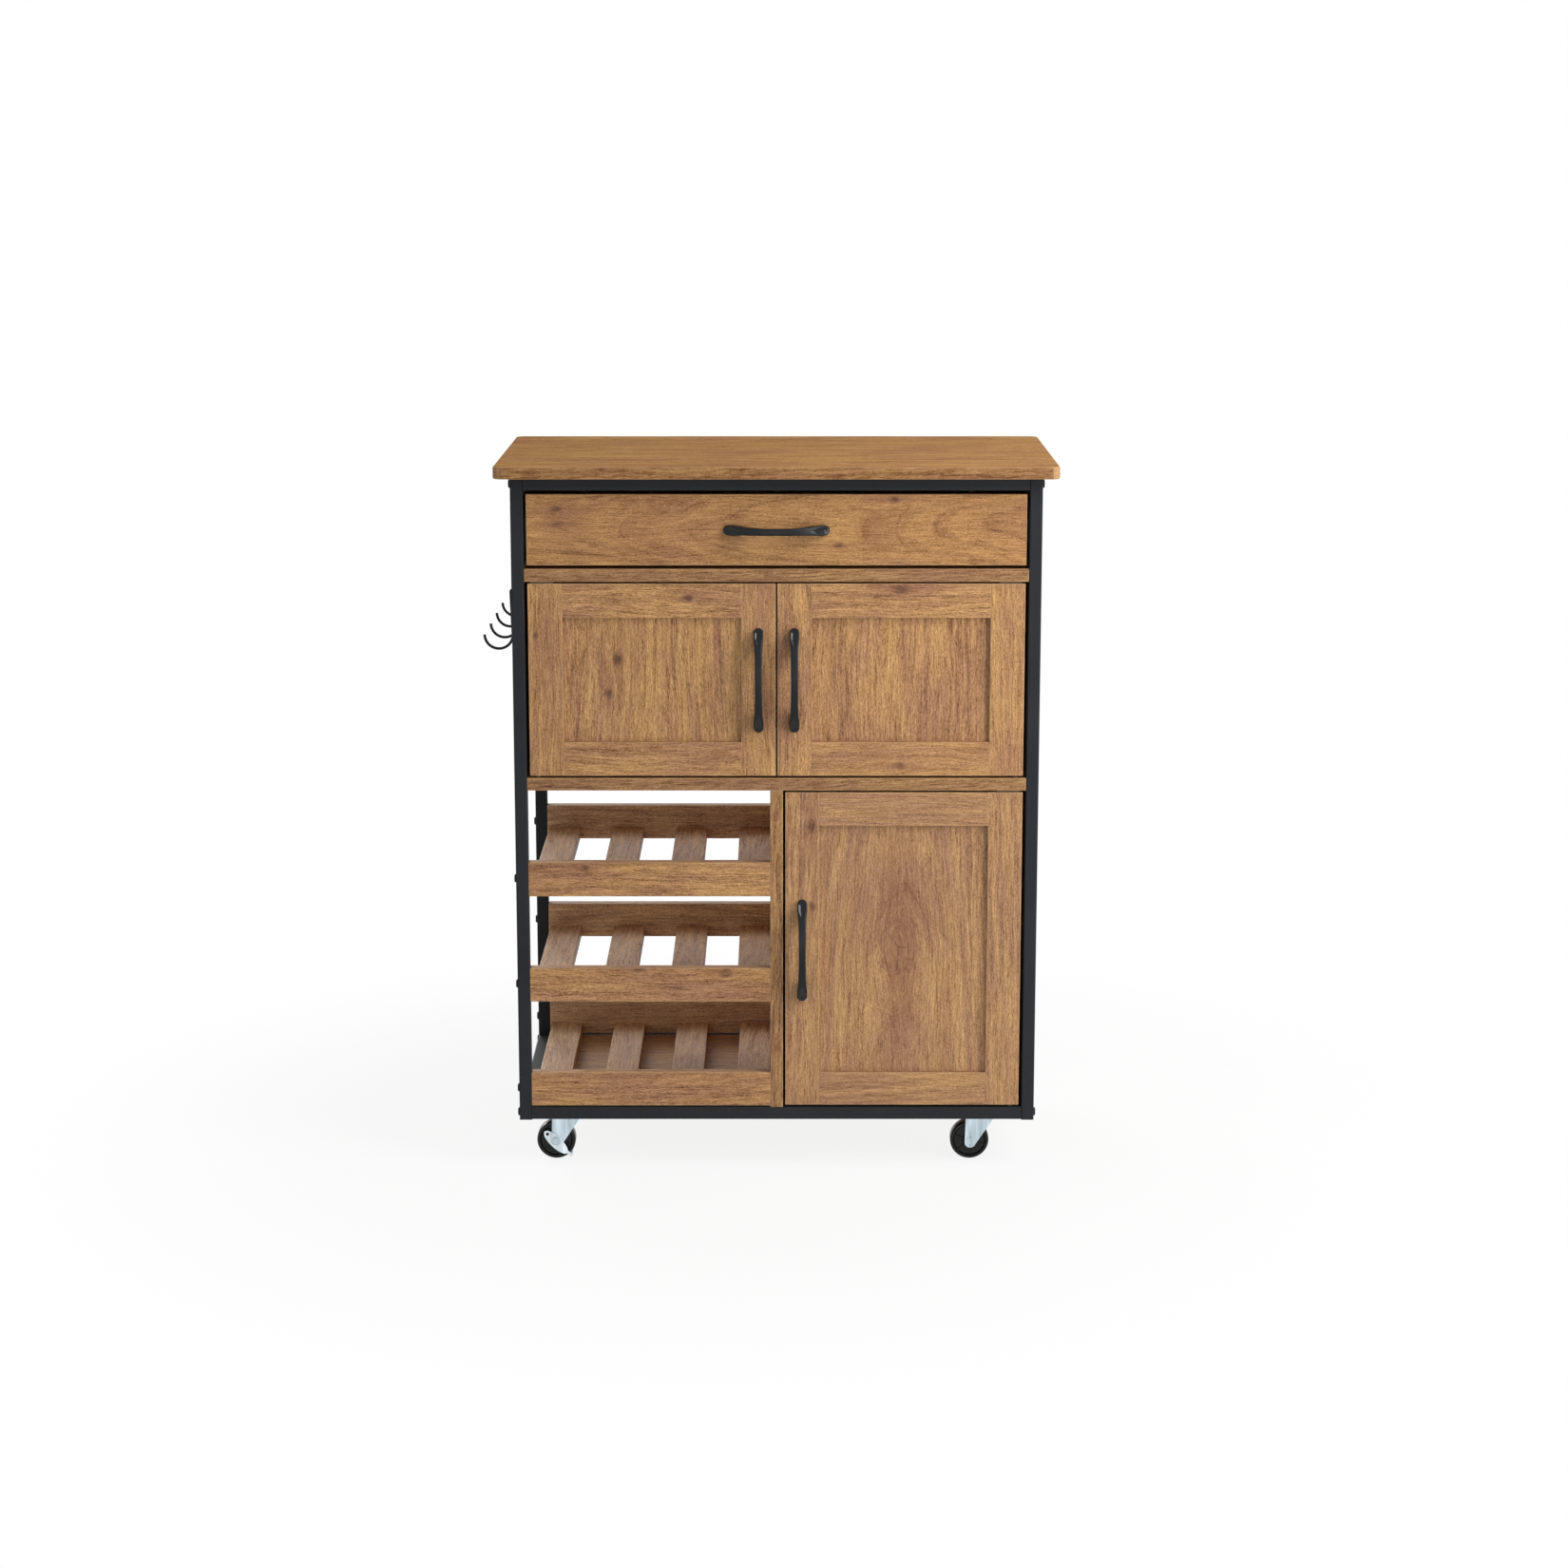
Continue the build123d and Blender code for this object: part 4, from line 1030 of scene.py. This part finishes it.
# Bow handles
handle_height = 0.028
handle_bar = 0.007
handle_tip = 0.003
handle_foot = 0.025
handle_end_radius = 0.0062
handle_rounding = 0.0024
handle_squareness = 2.2
bar_half_width = 0.0043
bar_flare = 0.0005
bar_half_length = 0.039
end_flare = 0.0014
end_flare_start = 0.041
widest_from_tip = 0.0085
dish_from_tip = 0.0245
dish_opening = 0.014
dish_fall = 0.016
dish_end_from_tip = 0.0065
dish_depth = 0.0017
dish_rim = 0.0013
handle_screw_head = 0.01


def arc_height(reach, half_chord, rise):
    """Height of a flat arc over its chord, at a distance from its middle."""
    radius = (half_chord**2 + rise**2) / (2 * rise)
    return rise - radius + math.sqrt(max(radius**2 - reach**2, 0.0))


def smooth_rise(value, low, high):
    """0 below low and 1 above high, with a smooth rise between them."""
    share = min(max((value - low) / (high - low), 0.0), 1.0)
    return share * share * (3 - 2 * share)


def handle_width(away, half):
    """Half the width of a handle at a distance from its middle: a slim bar with egg-shaped ends."""
    end_middle = half - handle_end_radius
    if away > end_middle:
        return math.sqrt(max(handle_end_radius**2 - (away - end_middle) ** 2, 0.0))
    width = bar_half_width + bar_flare * min(away / bar_half_length, 1.2) ** 2
    width += end_flare * smooth_rise(away, end_flare_start, half - widest_from_tip)
    return min(width, handle_end_radius)


def handle_point(reach, side, half, outer):
    """A point of a handle: how far along, how far across, how far off the front, and its polish.

    Reach runs from -1 to 1 from tip to tip, and side from -1 to 1 across."""
    x = half * math.sin(reach * math.pi / 2)
    away = abs(x)
    width = handle_width(away, half)
    y = width * math.sin(side * math.pi / 2)
    crown = handle_tip + arc_height(x, half, handle_height - handle_tip)
    foot_start = half - handle_foot
    under = 0.0
    if away < foot_start:
        under = arc_height(x, foot_start, handle_height - handle_bar)
    edge = min(handle_rounding, (crown - under) / 2 - 0.0004)
    rounding = edge * (1 - math.cos(side * math.pi / 2)) ** handle_squareness
    if not outer:
        return x, y, under + (rounding if away < foot_start else 0.0), 0.0
    dish_start = half - dish_from_tip
    opening = smooth_rise(away, dish_start - 0.003, dish_start + dish_opening)
    dish_width = (width - dish_rim) * opening
    hollow = max(1 - (y / max(dish_width, 1e-5)) ** 2, 0.0)
    hollow *= smooth_rise(away, dish_start, dish_start + dish_fall)
    hollow *= 1 - smooth_rise(away, half - dish_end_from_tip, half - 0.0008)
    return x, y, crown - rounding - dish_depth * hollow, 1.0 if hollow > 0.02 else 0.0


def make_handle(node, body, lengthwise):
    """A cast bow handle with a hollow in each end, and its screws from behind."""
    low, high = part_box(node)
    half = (high[lengthwise] - low[lengthwise]) / 2
    middle = (low + high) / 2
    shape = bmesh.new()
    polish = shape.verts.layers.float.new("polish")
    bmesh.ops.create_grid(shape, x_segments=120, y_segments=28, size=1.0)
    extruded = bmesh.ops.extrude_face_region(shape, geom=list(shape.faces))
    outer = {part for part in extruded["geom"] if isinstance(part, bmesh.types.BMVert)}
    across = X if lengthwise == Z else Z
    for vertex in shape.verts:
        along, side, off, shine = handle_point(vertex.co.x, vertex.co.y, half, vertex in outer)
        vertex.co[lengthwise] = middle[lengthwise] + along
        vertex.co[across] = middle[across] + side
        vertex.co.y = low.y + handle_height - off
        vertex[polish] = shine
    bmesh.ops.remove_doubles(shape, verts=shape.verts, dist=merge_distance)
    bmesh.ops.recalc_face_normals(shape, faces=shape.faces)
    piece = make_piece(f"{node}_casting", shape, black_handle, body, "black_handle", node)
    smooth_shade(piece, 50)
    screws = [points for points in solids(node) if span(points, lengthwise) < handle_screw_head]
    places = [fastener_place(points) for points in screws]
    make_fasteners(f"{node}_screws", node, places, body, screw_steel, "zinc_steel", screw_sizes)


make_handle("drawer_handle", "drawer", X)
for door in ("upper_left_door", "upper_right_door", "lower_right_door"):
    make_handle(f"{door}_handle", door, Z)


# Caster wheels
wheel_bore = 0.00305
wheel_hub = 0.0085
wheel_lip = 0.0205
wheel_face = 0.010
wheel_web = 0.0076
hub_ease = 0.0006
hub_slope = 0.0008
lip_slope = 0.0010
lip_ease = 0.0005
tyre_round = 0.0028
rib_count = 6
rib_offset = 0.3
rib_depth = 0.0020
rib_rise = 0.0008
rib_width = 0.0013


def spin_round(shape, axle, steps):
    """Spins a section once round an axle that lies front to back."""
    bmesh.ops.spin(
        shape,
        geom=list(shape.verts) + list(shape.edges),
        cent=axle,
        axis=(0, 1, 0),
        dvec=(0, 0, 0),
        angle=math.tau,
        steps=steps,
        use_merge=True,
    )
    bmesh.ops.remove_doubles(shape, verts=shape.verts, dist=merge_distance)
    bmesh.ops.recalc_face_normals(shape, faces=shape.faces)


def make_wheel(node, body):
    """A moulded wheel: a rounded tyre, a lip, a dished web with ribs, and a hub."""
    low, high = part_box(node)
    middle = (low + high) / 2
    radius, hub_half = (high.z - low.z) / 2, (high.y - low.y) / 2
    half_profile = [
        (wheel_bore, hub_half),
        (wheel_hub - hub_ease, hub_half),
        (wheel_hub, hub_half - hub_ease),
        (wheel_hub + hub_slope, wheel_web),
        (wheel_lip - lip_slope, wheel_web),
        (wheel_lip, wheel_face - lip_ease),
        (wheel_lip + lip_ease, wheel_face),
    ]
    for degrees in (0, 30, 60, 90):
        out = radius - tyre_round * (1 - math.sin(math.radians(degrees)))
        side = wheel_face - tyre_round * (1 - math.cos(math.radians(degrees)))
        half_profile.append((out, side))
    profile = half_profile + [(out, -side) for out, side in reversed(half_profile)]
    shape = bmesh.new()
    ring = [shape.verts.new((middle.x + out, middle.y + side, middle.z)) for out, side in profile]
    for index in range(len(ring)):
        shape.edges.new((ring[index - 1], ring[index]))
    spin_round(shape, middle, 72)
    inner, outer = wheel_hub - 0.0004, wheel_lip + 0.0002
    for index in range(rib_count):
        turn = Matrix.Rotation(math.tau * (index + rib_offset) / rib_count, 4, "Y")
        for side in (-1, 1):
            rib = Matrix.Translation(((inner + outer) / 2, side * (wheel_web + rib_rise), 0))
            size = Matrix.Diagonal((outer - inner, rib_depth, rib_width, 1.0))
            to_place = Matrix.Translation(middle) @ turn @ rib @ size
            bmesh.ops.create_cube(shape, size=1.0, matrix=to_place)
    piece = make_piece(f"{node}_moulding", shape, wheel_plastic, body, "wheel_plastic", node)
    smooth_shade(piece)


for place in ("front_left", "front_right", "back_left", "back_right"):
    make_wheel(f"{place}_caster_wheel", f"{place}_wheel")


# Brake levers
ring_radius = 0.0058
ring_thickness = 0.0007


def make_pressed_ring(place):
    """The ring pressed up in a brake lever's face, round the axle's head."""
    wheel_low, wheel_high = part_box(f"{place}_caster_wheel")
    axle = (wheel_low + wheel_high) / 2
    axle.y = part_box(f"{place}_brake_lever")[0].y
    shape = bmesh.new()
    start = Matrix.Translation(axle + Vector((ring_radius, 0, 0)))
    bmesh.ops.create_circle(shape, segments=12, radius=ring_thickness, matrix=start)
    spin_round(shape, axle, 48)
    piece = make_piece(f"{place}_brake_ring", shape, bright_zinc, f"{place}_brake", "zinc_steel")
    smooth_shade(piece)


for place in ("front_left", "back_left"):
    make_pressed_ring(place)


# Finishes of the parts that keep their CAD shape
pressed_edge = 0.0003


def soften(piece, width):
    """Merges a CAD mesh's triangles and rounds its sharp edges as the last steps of its shape."""
    weld = piece.modifiers.new("weld", "WELD")
    weld.merge_threshold = merge_distance
    rounding = piece.modifiers.new("rounding", "BEVEL")
    rounding.width = width
    rounding.segments = 2
    rounding.limit_method = "ANGLE"
    rounding.angle_limit = math.radians(40)
    rounding.harden_normals = False


for node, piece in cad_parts.items():
    if piece.hide_render:
        continue
    if node in ("leg_caps", "door_catches"):
        finish = black_plastic
    elif node in ("front_bottom_rail", "back_bottom_rail", "hooks", "hook_rail"):
        finish = black_steel
    elif node == "hinge_pins" or node.endswith("fittings"):
        finish = hinge_steel
    elif node.startswith("slide"):
        finish = slide_steel
    elif node.endswith("lever"):
        finish = bright_zinc
    else:
        finish = zinc
    piece.data.materials.clear()
    piece.data.materials.append(finish)
    if node.endswith(("fork", "lever")):
        soften(piece, pressed_edge)


# Floor, light and camera
floor_reach = 40.0
shadow_start = 0.45
shadow_end = 1.1
white_near = 0.87
ambient = 0.30


def seen_rays(tree):
    """1 for what the camera, a mirror or a glass sees, and 0 for light that falls on things."""
    rays = add_node(tree, "ShaderNodeLightPath").outputs
    straight = calculate(tree, "MAXIMUM", rays["Is Camera Ray"], rays["Is Glossy Ray"])
    return calculate(tree, "MAXIMUM", straight, rays["Is Transmission Ray"])


def make_floor():
    """A pale floor that keeps the cart's shadow near it and fades to white away from it."""
    shape = bmesh.new()
    bmesh.ops.create_grid(shape, x_segments=1, y_segments=1, size=floor_reach)
    mesh = bpy.data.meshes.new("floor")
    shape.to_mesh(mesh)
    shape.free()
    floor = bpy.data.objects.new("floor", mesh)
    bpy.context.scene.collection.objects.link(floor)
    material, tree, shader = new_material("floor_white")
    tree.nodes.remove(shader)
    output = tree.nodes["Material Output"]
    where = add_node(tree, "ShaderNodeTexCoord").outputs["Object"]
    distance = add_node(tree, "ShaderNodeVectorMath", {0: where}, operation="LENGTH")
    far = step_up(tree, distance.outputs["Value"], shadow_start, shadow_end)
    matt = add_node(tree, "ShaderNodeBsdfDiffuse", {"Color": (0.8, 0.8, 0.8, 1)})
    white = add_node(tree, "ShaderNodeEmission", {"Strength": 1.0})
    whiteness = calculate(tree, "MULTIPLY_ADD", far, 1.0 - white_near, white_near)
    share = multiply(tree, whiteness, seen_rays(tree))
    mixed = add_node(
        tree, "ShaderNodeMixShader", {0: share, 1: matt.outputs[0], 2: white.outputs[0]}
    )
    fill(tree, output.inputs["Surface"], mixed.outputs[0])
    mesh.materials.append(material)


def make_world():
    """White where it is seen or mirrored, and a soft even light on the object."""
    world = bpy.data.worlds.new("studio")
    bpy.context.scene.world = world
    world.use_nodes = True
    tree = world.node_tree
    background = tree.nodes["Background"]
    strength = calculate(tree, "MULTIPLY_ADD", seen_rays(tree), 1.0 - ambient, ambient)
    fill(tree, background.inputs["Color"], (1, 1, 1, 1))
    fill(tree, background.inputs["Strength"], strength)


def make_lamp(name, place, target, width, height, watts):
    """A soft rectangular lamp that looks at a point and isn't seen itself."""
    lamp = bpy.data.lights.new(name, "AREA")
    lamp.shape = "RECTANGLE"
    lamp.size = width
    lamp.size_y = height
    lamp.energy = watts
    holder = bpy.data.objects.new(name, lamp)
    bpy.context.scene.collection.objects.link(holder)
    holder.location = place
    holder.rotation_euler = (Vector(target) - Vector(place)).to_track_quat("-Z", "Y").to_euler()
    holder.visible_camera = False


make_floor()
make_world()
cart_front, handles, cart_back = (0.0, -0.18, 0.5), (0.0, -0.1, 0.75), (0.0, 0.2, 0.5)
make_lamp("key", (1.6, -1.15, 0.95), cart_front, 0.7, 1.4, 17.5)
make_lamp("front", (-0.5, -4.6, 0.75), cart_front, 2.4, 1.2, 14.0)
make_lamp("top", (1.45, -0.95, 2.2), handles, 1.1, 1.1, 34.0)
make_lamp("fill", (-2.0, 3.2, 1.7), cart_back, 2.4, 2.0, 95.0)

# The photograph's eye point, 1.34 m up and 4.12 m in front of the worktop's edge
eye = Vector((0.0192, -4.316, 1.340))
pitch_down = math.radians(11.416)
camera_data = bpy.data.cameras.new("camera")
camera_data.lens = 77.04
camera_data.sensor_width = 36.0
camera = bpy.data.objects.new("camera", camera_data)
camera.location = eye
camera.rotation_euler = (math.pi / 2 - pitch_down, 0.0, 0.0)
bpy.context.scene.collection.objects.link(camera)
bpy.context.scene.camera = camera
bpy.context.scene.view_settings.view_transform = "Standard"
